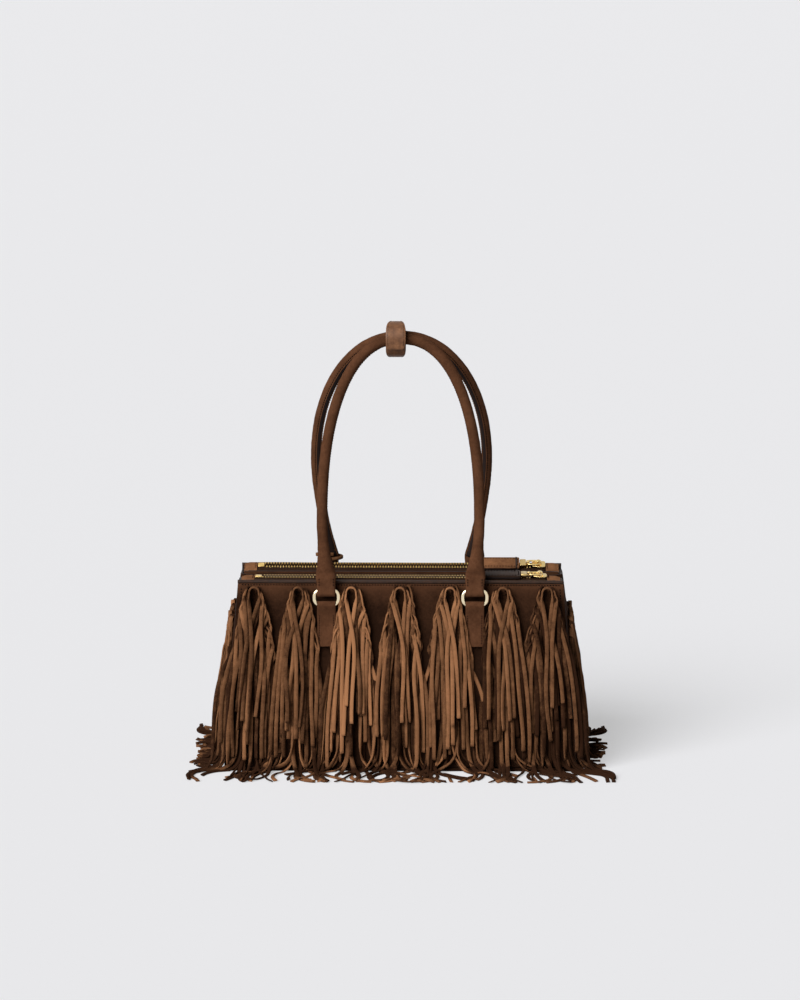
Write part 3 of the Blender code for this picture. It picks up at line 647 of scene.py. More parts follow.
def make_finishes(colours):
    nap = make_nap_group()
    grain = make_grain_group()
    weave = make_weave_group()
    metal = make_metal_group()
    deep = colours.suede_deep
    light = colours.suede_light
    # wall_suede and strap_suede are one suede: the walls' copy is painted darker (painted shade) and the
    # handles' and tabs' copy lighter (painted light)
    for name, dark, pale, scale, patches, fibres, sheen in (
        ("wall_suede", rgba(deep, 0.55), rgba(light, 0.95), 38.0, 0.9, 0.4, 0.05),
        ("strap_suede", rgba(deep, 1.35), rgba(light, 1.4), 60.0, 1.0, 0.6, 0.14),
        ("patch_suede", rgba(light), rgba(colours.fringe_light), 120.0, 1.2, 0.7, 0.10),
        ("strip_suede", rgba(colours.fringe_deep), rgba(colours.fringe_light), 90.0, 0.7, 0.5, 0.06),
    ):
        given = {"Deep": dark, "Light": pale, "Patch scale": scale, "Patches": patches, "Fibres": fibres}
        add_finish(
            name, nap, 0.55, 0.0003, given, "Tone", Roughness=0.95, Sheen_Weight=sheen, Sheen_Roughness=0.45,
            Sheen_Tint=rgba(pale, 2.2), Specular_IOR_Level=0.06)
    for name, colour, worn, wear, bump, shine in (
        ("binding_leather", rgba(colours.binding), rgba(light), 0.6, 0.3, 0.12),
        ("edge_paint", rgba(colours.edge_paint), rgba(colours.binding), 0.3, 0.12, 0.06),
        ("pull_leather", rgba(colours.binding, 0.8), rgba(light), 0.5, 0.3, 0.06),
        ("keeper_leather", rgba(light, 0.75), rgba(colours.fringe_light, 0.85), 1.6, 0.3, 0.25),
    ):
        given = {"Base": colour, "Worn": worn, "Wear": wear}
        add_finish(name, grain, bump, 0.0002, given, Specular_IOR_Level=shine)
    for name, colour, threads, bump in (
        ("zip_tape", colours.tape, 9000.0, 0.8), ("lining", colours.lining, 7000.0, 0.6),
        ("thread", colours.thread, 16000.0, 0.6),
    ):
        given = {"Threads": threads, "Deep": rgba(colour, 0.6), "Light": rgba(colour, 1.7)}
        add_finish(name, weave, bump, 0.0002, given, Roughness=0.95, Specular_IOR_Level=0.05)
    for name, colour, tarnish, roughness in (
        ("zip_brass", colours.brass, (0.45, 0.22, 0.04), 0.16),
        ("pull_gold", (0.90, 0.68, 0.30), (0.30, 0.19, 0.05), 0.16),
        ("ring_gold", colours.gold, (0.80, 0.62, 0.36), 0.10),
    ):
        given = {"Base": rgba(colour), "Tarnish": rgba(tarnish), "Roughness": roughness}
        add_finish(name, metal, 0.05, 0.0001, given, "Shade", Metallic=1.0)


# Walls and rim

WALL_FINISHES = ("wall_suede", "lining", "edge_paint")
# Painted shade on the walls, ends and base, as under the hanging fringe, and a band of painted light on the
# walls that fades downwards from the rim
WALL_PAINTED_SHADE = -0.42
RIM_PAINTED_LIGHT = 0.75
RIM_PAINTED_LIGHT_HEIGHT = 0.009
WALL_WAVE = 0.0011
GUSSET_WAVE = 0.0008
WALL_EDGE = 0.0005
DIVIDER_EDGE = 0.0004
BASE_CORNER = 0.004
BASE_EDGE = 0.0007


def build_walls():
    slant = (BASE_DEPTH - RIM_DEPTH) / 2 / PANEL_TOP
    levels = np.linspace(BASE_THICKNESS + CLEARANCE + WALL * slant, PANEL_TOP, 56)

    u = np.linspace(-1, 1, 96)[None, :]
    z = np.append(levels, PANEL_TOP + BINDING_LIFT)[:, None]
    x = half_length(z) * u
    fade = (1 - u ** 6) * np.sin(math.pi * np.clip(z / PANEL_TOP, 0, 1)).clip(0) ** 0.5
    # Painted shade below, painted light near the rim
    tone = WALL_PAINTED_SHADE + RIM_PAINTED_LIGHT * np.exp((z + 0 * x - PANEL_TOP) / RIM_PAINTED_LIGHT_HEIGHT)
    for name, side in SIDES.items():
        depth = panel_depth(x, z) + fade * ripple(x, z, 3 + side, WALL_WAVE)
        inner = joined(x, side * (panel_depth(x, z) - WALL), z)
        shape = Shape()
        slab(shape, joined(x, side * depth, z), inner, (0, 1, 2), tone)
        shape.piece(f"{name}_wall", "bag", WALL_FINISHES, [f"{name}_panel"], WALL_EDGE)

    u = np.linspace(-1, 1, 70)[None, :]
    z = levels[:, None]
    y = (half_depth(z) - WALL - CLEARANCE) * u
    reach = gusset_reach(y, z)
    for name, side in (("left", -1), ("right", 1)):
        bumps = (1 - u ** 6) * ripple(y, z, 11 + side, GUSSET_WAVE)
        outer, inner = [joined(side * (reach + more), y, z) for more in (bumps, -WALL)]
        shape = Shape()
        slab(shape, outer, inner, (0, 1, 2), WALL_PAINTED_SHADE)
        shape.piece(f"{name}_end", "bag", WALL_FINISHES, [f"{name}_gusset"], WALL_EDGE)

    centre = MOUTH_DEPTH / 2 + WALL / 2
    z = np.append(levels[:-1], DIVIDER_TOP)[:, None]
    x = (gusset_reach(centre, z) - WALL - 2 * CLEARANCE) * np.linspace(-1, 1, 60)[None, :]
    for name, side in SIDES.items():
        outer, inner = [joined(x, side * (centre + half), z) for half in (WALL / 2, -WALL / 2)]
        shape = Shape()
        slab(shape, outer, inner, (1, 0, 2))
        shape.piece(f"{name}_inner_wall", "bag", WALL_FINISHES, [f"{name}_divider"], DIVIDER_EDGE)

    shape = Shape()
    outline = rounded_rectangle(BASE_LENGTH, BASE_DEPTH, BASE_CORNER, 4)
    shape.add(*plate(outline, 0.0, BASE_THICKNESS, BASE_EDGE, 3), tone=WALL_PAINTED_SHADE)
    shape.piece("base", "bag", ["wall_suede"], ["base_panel"])


BINDING_TUCK = 0.0003
BINDING_FOOT = 0.0008
BINDING_WAVE = 0.0003
# Seams: ends left free, how far they run from an edge, and lift of the thread off the leather
SEAM_END = 0.003
TOP_SEAM_DROP = 0.0002
TOP_SEAM_LIFT = 0.0003
SIDE_SEAM_INSET = 0.0035
SIDE_SEAM_FOOT = 0.012
LINING_SEAM_REACH = 0.126
LINING_SEAM_DROP = 0.0025
THREAD_LIFT = 0.0001


def build_rim(sizes):
    outer = RIM_DEPTH / 2 + BINDING_LIP
    inner = RIM_DEPTH / 2 - WALL - BINDING_LIP
    bottom = PANEL_TOP + BINDING_LIFT
    top = PANEL_TOP + CLEARANCE + BINDING_HEIGHT
    xs = np.linspace(-RIM_LENGTH / 2, RIM_LENGTH / 2, 140)
    profile = smooth_line((
        (outer - BINDING_TUCK, bottom), (outer, bottom + BINDING_FOOT), (outer, top - BINDING_SHOULDER),
        (outer - BINDING_SHOULDER, top), (inner + BINDING_SHOULDER, top),
        (inner, top - BINDING_SHOULDER), (inner, bottom + BINDING_FOOT), (inner + BINDING_TUCK, bottom),
    ))
    for name, side in SIDES.items():
        lift = ripple(xs, 0 * xs, 21 + side, BINDING_WAVE)[:, None] * (profile[:, 1] > bottom + 0.001)
        shape = Shape()
        loft(shape, joined(xs[:, None], side * profile[:, 0], profile[:, 1] + lift), 0, 1)
        finishes = ("binding_leather", "edge_paint")
        shape.piece(f"{name}_binding", "bag", finishes, [f"{name}_rim_binding"])

    shape = Shape()
    for side in (-1, 1):
        x = np.linspace(SEAM_END - RIM_LENGTH / 2, RIM_LENGTH / 2 - SEAM_END, 80)
        z = PANEL_TOP - TOP_SEAM_DROP
        line = joined(x, side * (panel_depth(x, z) + TOP_SEAM_LIFT), z)
        stitches(shape, line, (0, side, 0.1), sizes, 0, 0.97)
        z = np.linspace(SIDE_SEAM_FOOT, PANEL_TOP - SEAM_END, 60)
        for hand in (-1, 1):
            x = hand * (half_length(z) - SIDE_SEAM_INSET)
            line = joined(x, side * (panel_depth(x, z) + THREAD_LIFT), z)
            stitches(shape, line, (0, side, 0), sizes)
    x = np.linspace(-LINING_SEAM_REACH, LINING_SEAM_REACH, 20)
    for side in (-1, 1):
        line = joined(x, side * (MOUTH_DEPTH / 2 - THREAD_LIFT), DIVIDER_TOP - LINING_SEAM_DROP)
        stitches(shape, line, (0, -side, 0), sizes)
    shape.piece("wall_stitches", "bag", ["thread"])


# Zips

def zip_frame(name):
    """Turns points of a zip's own frame (along, across, up) into places on the bag."""
    tilt = ZIP_TILTS[name]
    side = SIDES[name]

    def place(points):
        x, across, up = np.moveaxis(np.asarray(points, float), -1, 0)
        y = side * CHAIN_Y + across * math.cos(tilt) - up * math.sin(tilt)
        z = CHAIN_Z + across * math.sin(tilt) + up * math.cos(tilt)
        return joined(x, y, z)

    return place


def zip_up(name):
    return 0, -math.sin(ZIP_TILTS[name]), math.cos(ZIP_TILTS[name])


def add_plate(shape, place, at, outline, levels, bevel, segments=2, slot=0, tone=None):
    """A plate between two levels, moved by at. tone: a function of its points before the move."""
    points, faces = plate(outline, *levels, bevel, segments)
    shape.add(place(points + at), faces, slot, tone=tone(points) if tone else 0.0)


def add_band(shape, place, at, line, out, half_thickness):
    """A flat metal band bent along a line in the zip's X and height. out: its normals."""
    rings = []
    for v, w in ((1, -1), (1, 1), (-1, 1), (-1, -1)):
        edge = line + out * w * half_thickness
        rings.append(joined(edge[:, 0], v * BAND_HALF_WIDTH, edge[:, 1]))
    loft(shape, place(np.stack(rings, 1) + at))


def tape_route(name, outwards, thickness):
    """The tape's line in the zip's cross-section, in Y and Z, from the teeth to its far edge."""
    side = SIDES[name]
    way = side if outwards else -side
    start = way * (CHAIN_EDGE + CLEARANCE)
    gap = CLEARANCE + thickness * 0.3
    first = zip_frame(name)([[0, start, 0], [0, start + way * TAPE_FLAT, 0]])[:, 1:]
    if outwards:
        inner = RIM_DEPTH / 2 - WALL - BINDING_LIP
        end = (side * (inner - gap), PANEL_TOP + BINDING_HEIGHT - BINDING_SHOULDER)
    else:
        end = (side * (MOUTH_DEPTH / 2 + WALL + gap), DIVIDER_TOP - TAPE_DROP)
    return np.vstack([first, [end]])


def bent_sheet(shape, line, thickness, x_low, x_high, columns, wave=0.0, seed=0, edge_slot=0, droop=0.0):
    """A strip whose cross-section is a line in Y and Z, drawn out along X, its outer end drooping."""
    line = smooth_line(line)
    normal = line_normals(line)
    if normal[:, 1].sum() < 0:
        normal = -normal
    xs = np.linspace(x_low, x_high, columns)
    weight = np.sin(np.linspace(0, math.pi, len(line)))
    lift = wave * ripple(xs, xs * 0, seed, 1.0)[None, :] * weight[:, None]
    fall = droop * ease((np.abs(xs) - TAPE_END - END_TAB_LENGTH * 0.45) / (END_TAB_LENGTH * 0.55)) ** 2
    grids = []
    for half in (thickness / 2, -thickness / 2):
        yz = line[:, None] + normal[:, None] * (half + lift[..., None])
        grids.append(joined(xs, yz[..., 0], yz[..., 1] - fall))
    slab(shape, *grids, (0, 0, edge_slot))


# Half of a tooth from above: distance from the tape, half width
TOOTH_OUTLINE = (
    (-0.00035, 0.00056), (0.00050, 0.00050), (0.00110, 0.00032), (0.00185, 0.00046), (0.00240, 0.00050),
    (0.00268, 0.00034), (0.00275, 0.0),
)
TOOTH_GRIP = 0.00035
TOOTH_BEVEL = 0.00022
# The dent across a tooth: distance from the chain's middle, half width, share of the height kept
TOOTH_DENT = (0.0011, 0.0005, 0.93)
# Painted shade on the teeth's heads, within TOOTH_HEAD of the chain's middle, and how dark it is
TOOTH_HEAD = 0.0023
TOOTH_HEAD_SHADE = -0.92
TAPE_CORD = (0.00035, 0.00098)
TAPE_WAVE = 0.0003
ROW_END = 0.0007
STOP_JAWS = ((0.0005, 0.00145), (-0.00145, -0.0005))
STOP_CORNER = 0.0007
STOP_CORE = 0.0016
PATCH_DROOP = 0.0012
PATCH_SEAM = 0.0014
THIN_EDGE = 0.0003


def tooth_mesh(way):
    """One tooth round its own place in the chain, with painted shade on its head, where the two rows
    interlock, given by its points.
    """
    half = TOOTH_THICKNESS / 2
    mirrored = [(across, -x) for across, x in TOOTH_OUTLINE]
    outline = [mirrored[0], *TOOTH_OUTLINE, *mirrored[-2:0:-1]]
    outline = [(x, CHAIN_EDGE + TOOTH_GRIP - across) for across, x in outline]
    points, faces = plate(outline, -half, half, TOOTH_BEVEL, 1, math.radians(40))
    middle, reach, share = TOOTH_DENT
    dent = (np.abs(points[:, 1] - middle) < reach) & (np.abs(points[:, 2]) > half * 0.9)
    points[dent, 2] *= share
    points[:, 1] *= way
    shade = TOOTH_HEAD_SHADE * ease((TOOTH_HEAD - np.abs(points[:, 1])) / 0.0004)
    return points, [face[::-1] for face in faces] if way > 0 else faces, shade


def build_zips(sizes):
    pitch = sizes.tooth_pitch
    stop_at = (CHAIN_LEFT - CLEARANCE - STOP_LENGTH / 2, 0, 0)
    for name, side in SIDES.items():
        place = zip_frame(name)
        for outwards, part in ((True, "outer"), (False, "inner")):
            way = side if outwards else -side
            shape = Shape()
            route = tape_route(name, outwards, TAPE_THICKNESS)
            bent_sheet(shape, route, TAPE_THICKNESS, -TAPE_END, TAPE_END, 90, TAPE_WAVE, 5 + side)
            turn = np.arange(12) * math.pi / 6
            edge = way * (CHAIN_EDGE + THREAD_LIFT)
            cord = joined(0.0, edge + TAPE_CORD[0] * np.cos(turn), TAPE_CORD[1] * np.sin(turn))
            loft(shape, [place(cord + (x, 0, 0)) for x in (-TAPE_END, TAPE_END)])
            shape.piece(f"{name}_{part}_tape", "bag", ["zip_tape"], [f"{name}_zip_{part}_tape"])

            shape = Shape()
            points, faces, shade = tooth_mesh(way)
            offset = 0.0 if outwards else pitch / 2
            count = int((CHAIN_RIGHT - CHAIN_LEFT - offset - 0.0012) / pitch)
            for i in range(count + 1):
                shift = CHAIN_LEFT + ROW_END + offset + i * pitch
                shape.add(place(points + (shift, 0, 0)), faces, flat=True, tone=shade)
            shape.piece(f"{name}_{part}_row", "bag", ["zip_brass"], [f"{name}_zip_{part}_teeth"])

        shape = Shape()
        clip = rounded_rectangle(STOP_LENGTH, CHAIN_EDGE * 2, STOP_CORNER, 3)
        for levels in STOP_JAWS:
            add_plate(shape, place, stop_at, clip, levels, THIN_EDGE)
        core = rounded_rectangle(STOP_CORE, CHAIN_EDGE * 2 - 0.0004, THIN_EDGE, 2)
        add_plate(shape, place, stop_at, core, (-0.0006, 0.0006), 0.0001, 1)
        shape.piece(f"{name}_stop", "bag", ["zip_brass"], [f"{name}_zip_bottom_stop"])

        outer = tape_route(name, True, END_TAB_THICKNESS)
        inner = tape_route(name, False, END_TAB_THICKNESS)
        ridge = np.array([outer[2], outer[1], inner[1], inner[2]])
        start = TAPE_END + CLEARANCE
        end = TAPE_END + END_TAB_LENGTH
        for part, x_low, x_high, seam_x in (
            ("left", -end, -start, -start - PATCH_SEAM), ("right", start, end, start + PATCH_SEAM),
        ):
            shape = Shape()
            bent_sheet(shape, ridge, END_TAB_THICKNESS, x_low, x_high, 20, edge_slot=1, droop=PATCH_DROOP)
            line = smooth_line(ridge)[2:-2]
            seam = joined(seam_x, line[:, 0], line[:, 1] + END_TAB_THICKNESS / 2 + THREAD_LIFT)
            stitches(shape, seam, (0, 0, 1), sizes, 2)
            shape.piece(
                f"{name}_{part}_end_patch", "bag", ("patch_suede", "edge_paint", "thread"),
                [f"{name}_zip_{part}_end_tab"], THIN_EDGE)


# Half of the slider's plate from above, as shares of its half length and half width
SLIDER_OUTLINE = ((1, 0.82), (0.8, 1), (-0.1, 1), (-0.62, 0.80), (-1, 0.74))
BRIDGE_LINE = ((-0.0022, 0.0004), (-0.0016, 0.00165), (0.0, 0.0021), (0.0016, 0.00165), (0.0022, 0.0004))
BRIDGE_HALF_THICKNESS = 0.00042
BRIDGE_SUNK = 0.0003
BAND_HALF_WIDTH = 0.0016
SLIDER_EDGE = 0.00018
# Shares of the half length where the lips end, and their width, gap, bevel and painted shade
LIP_ENDS = (0.75, -0.15)
LIP_WIDTH = 0.0008
LIP_GAP = 0.00075
LIP_BEVEL = 0.0002
LIP_SHADE = -0.7
WEB_ENDS = (0.9, 0.1)
WEB_HALF_WIDTH = 0.0002
WEB_BEVEL = 0.00003


def build_slider(name, place):
    top = SLIDER_INSIDE + SLIDER_PLATE
    half = SLIDER_LENGTH / 2
    wide = SLIDER_WIDTH / 2
    at = (SLIDER_X, 0, 0)
    shape = Shape()
    outline = [(x * half, y * wide) for x, y in SLIDER_OUTLINE]
    outline = smooth_outline(outline + [(x, -y) for x, y in reversed(outline)])
    for levels in ((SLIDER_INSIDE, top), (-top, -SLIDER_INSIDE)):
        # Painted shade on the plates: darker below the top face, so that the lower plate is dark all over
        add_plate(
            shape, place, at, outline, levels, THIN_EDGE, 3,
            tone=lambda p: -0.15 - 0.8 * np.clip((top - 0.0001 - p[:, 2]) / 0.0009, 0, 1))
    front, back = LIP_ENDS
    lip = ((front, wide), (front, wide - LIP_WIDTH), (back, wide - LIP_WIDTH), (back, wide))
    sunk = top - BRIDGE_SUNK
    for sign in (-1, 1):
        for levels in ((LIP_GAP, sunk), (-sunk, -LIP_GAP)):
            # Painted shade on the lips, darker towards the slider's middle
            add_plate(
                shape, place, at, [(x * half, sign * y) for x, y in lip], levels, LIP_BEVEL,
                tone=lambda p: LIP_SHADE * np.clip(1 - p[:, 2] / top, 0, 1))
    front, back = WEB_ENDS
    web = [(half * x, y * WEB_HALF_WIDTH) for x, y in ((front, 1), (back, 1), (back, -1), (front, -1))]
    add_plate(shape, place, at, web, (-SLIDER_INSIDE - 0.0001, SLIDER_INSIDE + 0.0001), WEB_BEVEL, 1)
    bridge = [(x, PIVOT_HEIGHT + up) for x, up in BRIDGE_LINE]
    band = smooth_line([(bridge[0][0], sunk), *bridge, (bridge[-1][0], sunk)])
    add_band(shape, place, at, band, line_normals(band), BRIDGE_HALF_THICKNESS)
    shape.piece(
        f"{name}_zip_slider", f"{name}_slide", ["pull_gold"], [f"{name}_slider"], SLIDER_EDGE)


LINK_CORNER = 0.0022
CLAMP_CORNER = 0.0010
CLAMP_BEVEL = 0.0007
CLAMP_EDGE = 0.0001
CLAMP_CROWN = 0.06
KNUCKLE_GAP = 0.0006
KNUCKLE_TURN = 2.4
KNUCKLE_HALF_THICKNESS = 0.0003
# The pull's two leathers: low and high share of its thickness, and finish of their edges
PULL_LAYERS = (((0.0, 0.47), 1), ((0.53, 1.0), 0))
PULL_CORNER = 0.0012
PULL_SEAM_INSET = 0.0017
PULL_BAND_WIDTH = 0.0016
PULL_BAND_INSET = 0.0027
PULL_BAND_LIFT = 0.00025


def build_pulls(sizes):
    eye = SLIDER_X - LINK_LENGTH
    right = -(LINK_WIRE + KNUCKLE_GAP)
    floor = SLIDER_INSIDE - PIVOT_HEIGHT
    for name in SIDES:
        place = zip_frame(name)
        build_slider(name, place)

        shape = Shape()
        loop = rounded_rectangle(LINK_LENGTH, LINK_WIDTH, LINK_CORNER, 8)
        path = [(SLIDER_X - LINK_LENGTH / 2 + x, y, PIVOT_HEIGHT) for x, y in loop]
        wire_loop(shape, place(path), LINK_WIRE, zip_up(name), 12)
        shape.piece(f"{name}_link_wire", f"{name}_link", ["pull_gold"], [f"{name}_pull_link"])

        shape = Shape()
        outline = rounded_rectangle(CLAMP_LENGTH, CLAMP_WIDTH, CLAMP_CORNER, 3)
        points, faces = plate(outline, floor, floor + CLAMP_THICKNESS, CLAMP_BEVEL, 3)
        crown = 1 + CLAMP_CROWN * np.cos(points[:, 1] / CLAMP_WIDTH * math.pi)
        points[:, 2] = floor + (points[:, 2] - floor) * crown * 0.97
        # Painted shade: darker all over, and darker still towards the clamp's underside
        shade = -0.35 - 0.6 * np.clip(1 - (points[:, 2] - floor) / (CLAMP_THICKNESS * 0.9), 0, 1)
        shape.add(place(points + (eye + right - CLAMP_LENGTH / 2, 0, PIVOT_HEIGHT)), faces, tone=shade)
        turn = np.linspace(-KNUCKLE_TURN, KNUCKLE_TURN, 14)
        out = joined(np.cos(turn), np.sin(turn))
        line = out * (LINK_HOLE + KNUCKLE_HALF_THICKNESS)
        add_band(shape, place, (eye, 0, PIVOT_HEIGHT), line, out, KNUCKLE_HALF_THICKNESS)
        nodes = [f"{name}_pull_clamp"]
        shape.piece(f"{name}_pull_cap", f"{name}_pull", ["pull_gold"], nodes, CLAMP_EDGE)

        shape = Shape()
        tab_right = eye + right - CLAMP_LENGTH - CLEARANCE
        at = (tab_right - PULL_LENGTH / 2, 0, PIVOT_HEIGHT)
        outline = rounded_rectangle(PULL_LENGTH, PULL_WIDTH, PULL_CORNER, 3)
        for layer, edge_slot in PULL_LAYERS:
            points, faces = plate(outline, *(floor + PULL_THICKNESS * share for share in layer), THIN_EDGE)
            start = len(shape.slots)
            shape.add(place(points + at), faces)
            for i, face in enumerate(faces):
                a, b, c = points[list(face[:3])]
                if abs(unit(np.cross(b - a, c - a))[2]) < 0.6:
                    shape.slots[start + i] = edge_slot
        top = floor + PULL_THICKNESS
        core = rounded_rectangle(PULL_LENGTH - THIN_EDGE, PULL_WIDTH - THIN_EDGE, PULL_CORNER, 3)
        add_plate(shape, place, at, core, (floor + THIN_EDGE, top - THIN_EDGE), 0.0001, 1, 1)
        inset = 2 * PULL_SEAM_INSET
        border = rounded_rectangle(PULL_LENGTH - inset, PULL_WIDTH - inset, 0.001, 3)
        path = np.array([(x, y, top + THREAD_LIFT) for x, y in border + border[:1]]) + at
        stitches(shape, place(path), zip_up(name), sizes, 2)
        band = rounded_rectangle(PULL_BAND_WIDTH, PULL_WIDTH + 0.0003, 0.0004, 2)
        levels = (floor + PULL_THICKNESS * 0.5, top + PULL_BAND_LIFT)
        add_plate(shape, place, (tab_right - PULL_BAND_INSET, 0, PIVOT_HEIGHT), band, levels, 0.0001, 1, 3)
        leather = "pull_leather" if name == "front" else "patch_suede"
        shape.piece(
            f"{name}_pull_leather", f"{name}_pull", (leather, "edge_paint", "thread", "binding_leather"),
            [f"{name}_pull_tab"])


# Rings, tabs and handles

STRAP_FINISHES = ("strap_suede", "edge_paint", "thread")
TAB_RAISE = 0.0022
TAB_RAISE_Z = 0.126
TAB_RAISE_HEIGHT = 0.012
TAB_SEAM_INSET = 0.0015
TAB_SPREAD = 0.0009
LOOP_TURNS_IN = 0.0045
RING_CORNER = RING_BEND + 0.0014
RING_SWELL = 0.1
RING_SWELL_LENGTH = 0.0025


def strap(shape, line, width, thickness, centre_x, columns=8):
    """A strip of leather along a line in Y and Z, centred on an X. width: one number, or one by row."""
    line = np.asarray(line, float)
    normal = line_normals(line)
    u = np.linspace(-1, 1, columns)[None, :]
    half = np.broadcast_to(np.asarray(width) / 2, len(line))[:, None]
    grids = []
    for lift in (thickness / 2, -thickness / 2):
        yz = line[:, None] + normal[:, None] * (lift * (1 - 0.18 * u ** 4))[..., None]
        grids.append(joined(centre_x + half * u, yz[..., 0], yz[..., 1]))
    slab(shape, *grids, (0, 0, 1))


def build_rings(sizes):
    loop = np.array(rounded_rectangle(RING_WIDTH, RING_PITCH, RING_CORNER, 9))
    swell = ease((np.abs(loop[:, 0]) - RING_WIDTH / 2 + RING_SWELL_LENGTH) / RING_SWELL_LENGTH)
    wires = RING_WIRE * (1 + RING_SWELL * swell)
    turn = LOOP_HOLE + LOOP_WALL / 2
    upper = CLEARANCE + LOOP_WALL * 1.5 + 0.0002
    round_bar = np.radians(np.arange(195, -16, -15))
    low_z = np.linspace(TAB_LEAVES_PANEL + 0.003, TAB_FOOT, 12)

    def raised(z):
        return upper + TAB_RAISE * ease((z - TAB_RAISE_Z) / TAB_RAISE_HEIGHT)

    for row, side in SIDES.items():
        def skin(z, lift):
            return joined(side * (panel_depth(RING_X - TAB_WIDTH / 2, z) + lift), z)

        line = np.concatenate([
            skin(np.linspace(TAB_FOOT, RING_LOWER_Z - LOOP_TURNS_IN, 12), CLEARANCE + LOOP_WALL / 2),
            joined(side * (RING_Y + turn * np.cos(round_bar)), RING_LOWER_Z + turn * np.sin(round_bar)),
            skin(low_z, raised(low_z)),
        ])
        for part, hand in (("left", -1), ("right", 1)):
            shape = Shape()
            middle_z = RING_LOWER_Z + RING_PITCH / 2
            path = joined(hand * RING_X + loop[:, 0], side * RING_Y, middle_z + loop[:, 1])
            wire_loop(shape, path, wires[:, None, None], (0, 1, 0), 20)
            name = f"{row}_{part}"
            shape.piece(f"{name}_handle_ring", f"{row}_rings", ["ring_gold"], [f"{name}_ring"])

            shape = Shape()
            strap(shape, smooth_line(line, 1), TAB_WIDTH + TAB_SPREAD, LOOP_WALL, hand * RING_X)
            z = np.linspace(TAB_FOOT + 0.002, RING_LOWER_Z - 0.006, 20)
            seam = skin(z, raised(z) + LOOP_WALL / 2)
            for edge in (-1, 1):
                x = hand * RING_X + edge * (TAB_WIDTH / 2 - TAB_SEAM_INSET)
                stitches(shape, joined(x, seam[:, 0], z), (0, side, 0), sizes, 2, 0.85)
            shape.piece(f"{name}_tab", "bag", STRAP_FINISHES, [f"{name}_ring_tab"], THIN_EDGE)


def handle_profile():
    """Height above the ring bar, half width, half thickness and squareness of a handle, row by row."""
    tab = TAB_WIDTH / 2 + 0.0004
    shaft = HANDLE_RADIUS - 0.0006
    return np.array([
        (-0.0052, tab - 0.0004, LOOP_RADIUS - 0.0019, 5.0),
        (-0.0044, tab, LOOP_RADIUS - 0.0007, 5.0),
        (-0.0025, tab, LOOP_RADIUS, 5.0),
        (0.0025, tab, LOOP_RADIUS, 5.0),
        (0.006, tab + 0.0002, LOOP_RADIUS - 0.0003, 4.0),
        (0.009, tab + 0.0007, LOOP_RADIUS + 0.0002, 3.0),
        (0.0125, tab + 0.0009, HANDLE_RADIUS - 0.0008, 2.4),
        (0.020, shaft + 0.0026, shaft + 0.0002, 2.0),
        (0.030, shaft + 0.0010, shaft, 2.0),
        (0.042, shaft, shaft, 2.0),
    ])


def profile_at(height):
    rows = handle_profile()
    return [np.interp(height, rows[:, 0], rows[:, k]) for k in (1, 2, 3)]


def handle_route(side, arch):
    """The handle's centre line, in finer steps than the CAD's."""
    spring_z = BAR_Z + arch["spring"]
    top = spring_z + arch["rise"]
    foot, straight = handle_profile()[[0, -1], 0]
    heights = BAR_Z + np.concatenate([
        np.linspace(foot, straight, 34), np.linspace(straight, arch["spring"], 30)[1:-1]])
    t = ease((heights - BAR_Z) / arch["spring"])
    legs = [joined(mix(hand * RING_X, hand * arch["half_width"], t), 0.0, heights) for hand in (-1, 1)]
    angle = np.linspace(math.pi, 0, 90)
    power = 2 / arch["power"]
    x = signed_power(np.cos(angle), power) * arch["half_width"]
    z = spring_z + signed_power(np.sin(angle), power) * arch["rise"]
    over = resample(joined(x, 0.0, z), 0.0036)
    route = np.concatenate([legs[0], over, legs[1][::-1]])
    route[:, 1] = side * mix(RING_Y, HANDLE_APEX_Y, (route[:, 2] - BAR_Z) / (top - BAR_Z))
    return route


# Cross-sections of the painted seam and of the suede lips beside it: along the seam's width or
# round the handle, and lift off the handle
SEAM_PROFILE = (
    (-1, -0.0006), (-1, 0.0002), (-0.5, 0.0003), (0, 0.0003), (0.5, 0.0003), (1, 0.0002), (1, -0.0006),
)
LIP_PROFILE = ((-0.07, -0.0002), (-0.07, 0.0003), (0.0, 0.0006), (0.06, 0.0003), (0.06, -0.0002))
# The seam in radians round the handle: its middle and half width, on the shaft and at the foot
SEAM_MIDDLE = (0.52, 0.0)
SEAM_SPREAD = (0.42, 1.05)
SEAM_LOW = 0.011
SEAM_STITCHES = 0.22
SEAM_BREAK = 6
LIP_TONE = 0.3
HANDLE_UNEVENNESS = 0.05
HANDLE_SIDES = 28
# The crease where the flat end meets the shaft: depth, height above the ring bar, spread
CREASE = (0.0012, 0.0135, 0.0022)
FOOT_SEAM = (0.0035, 0.0105)
FOOT_SEAM_INSET = 0.0014


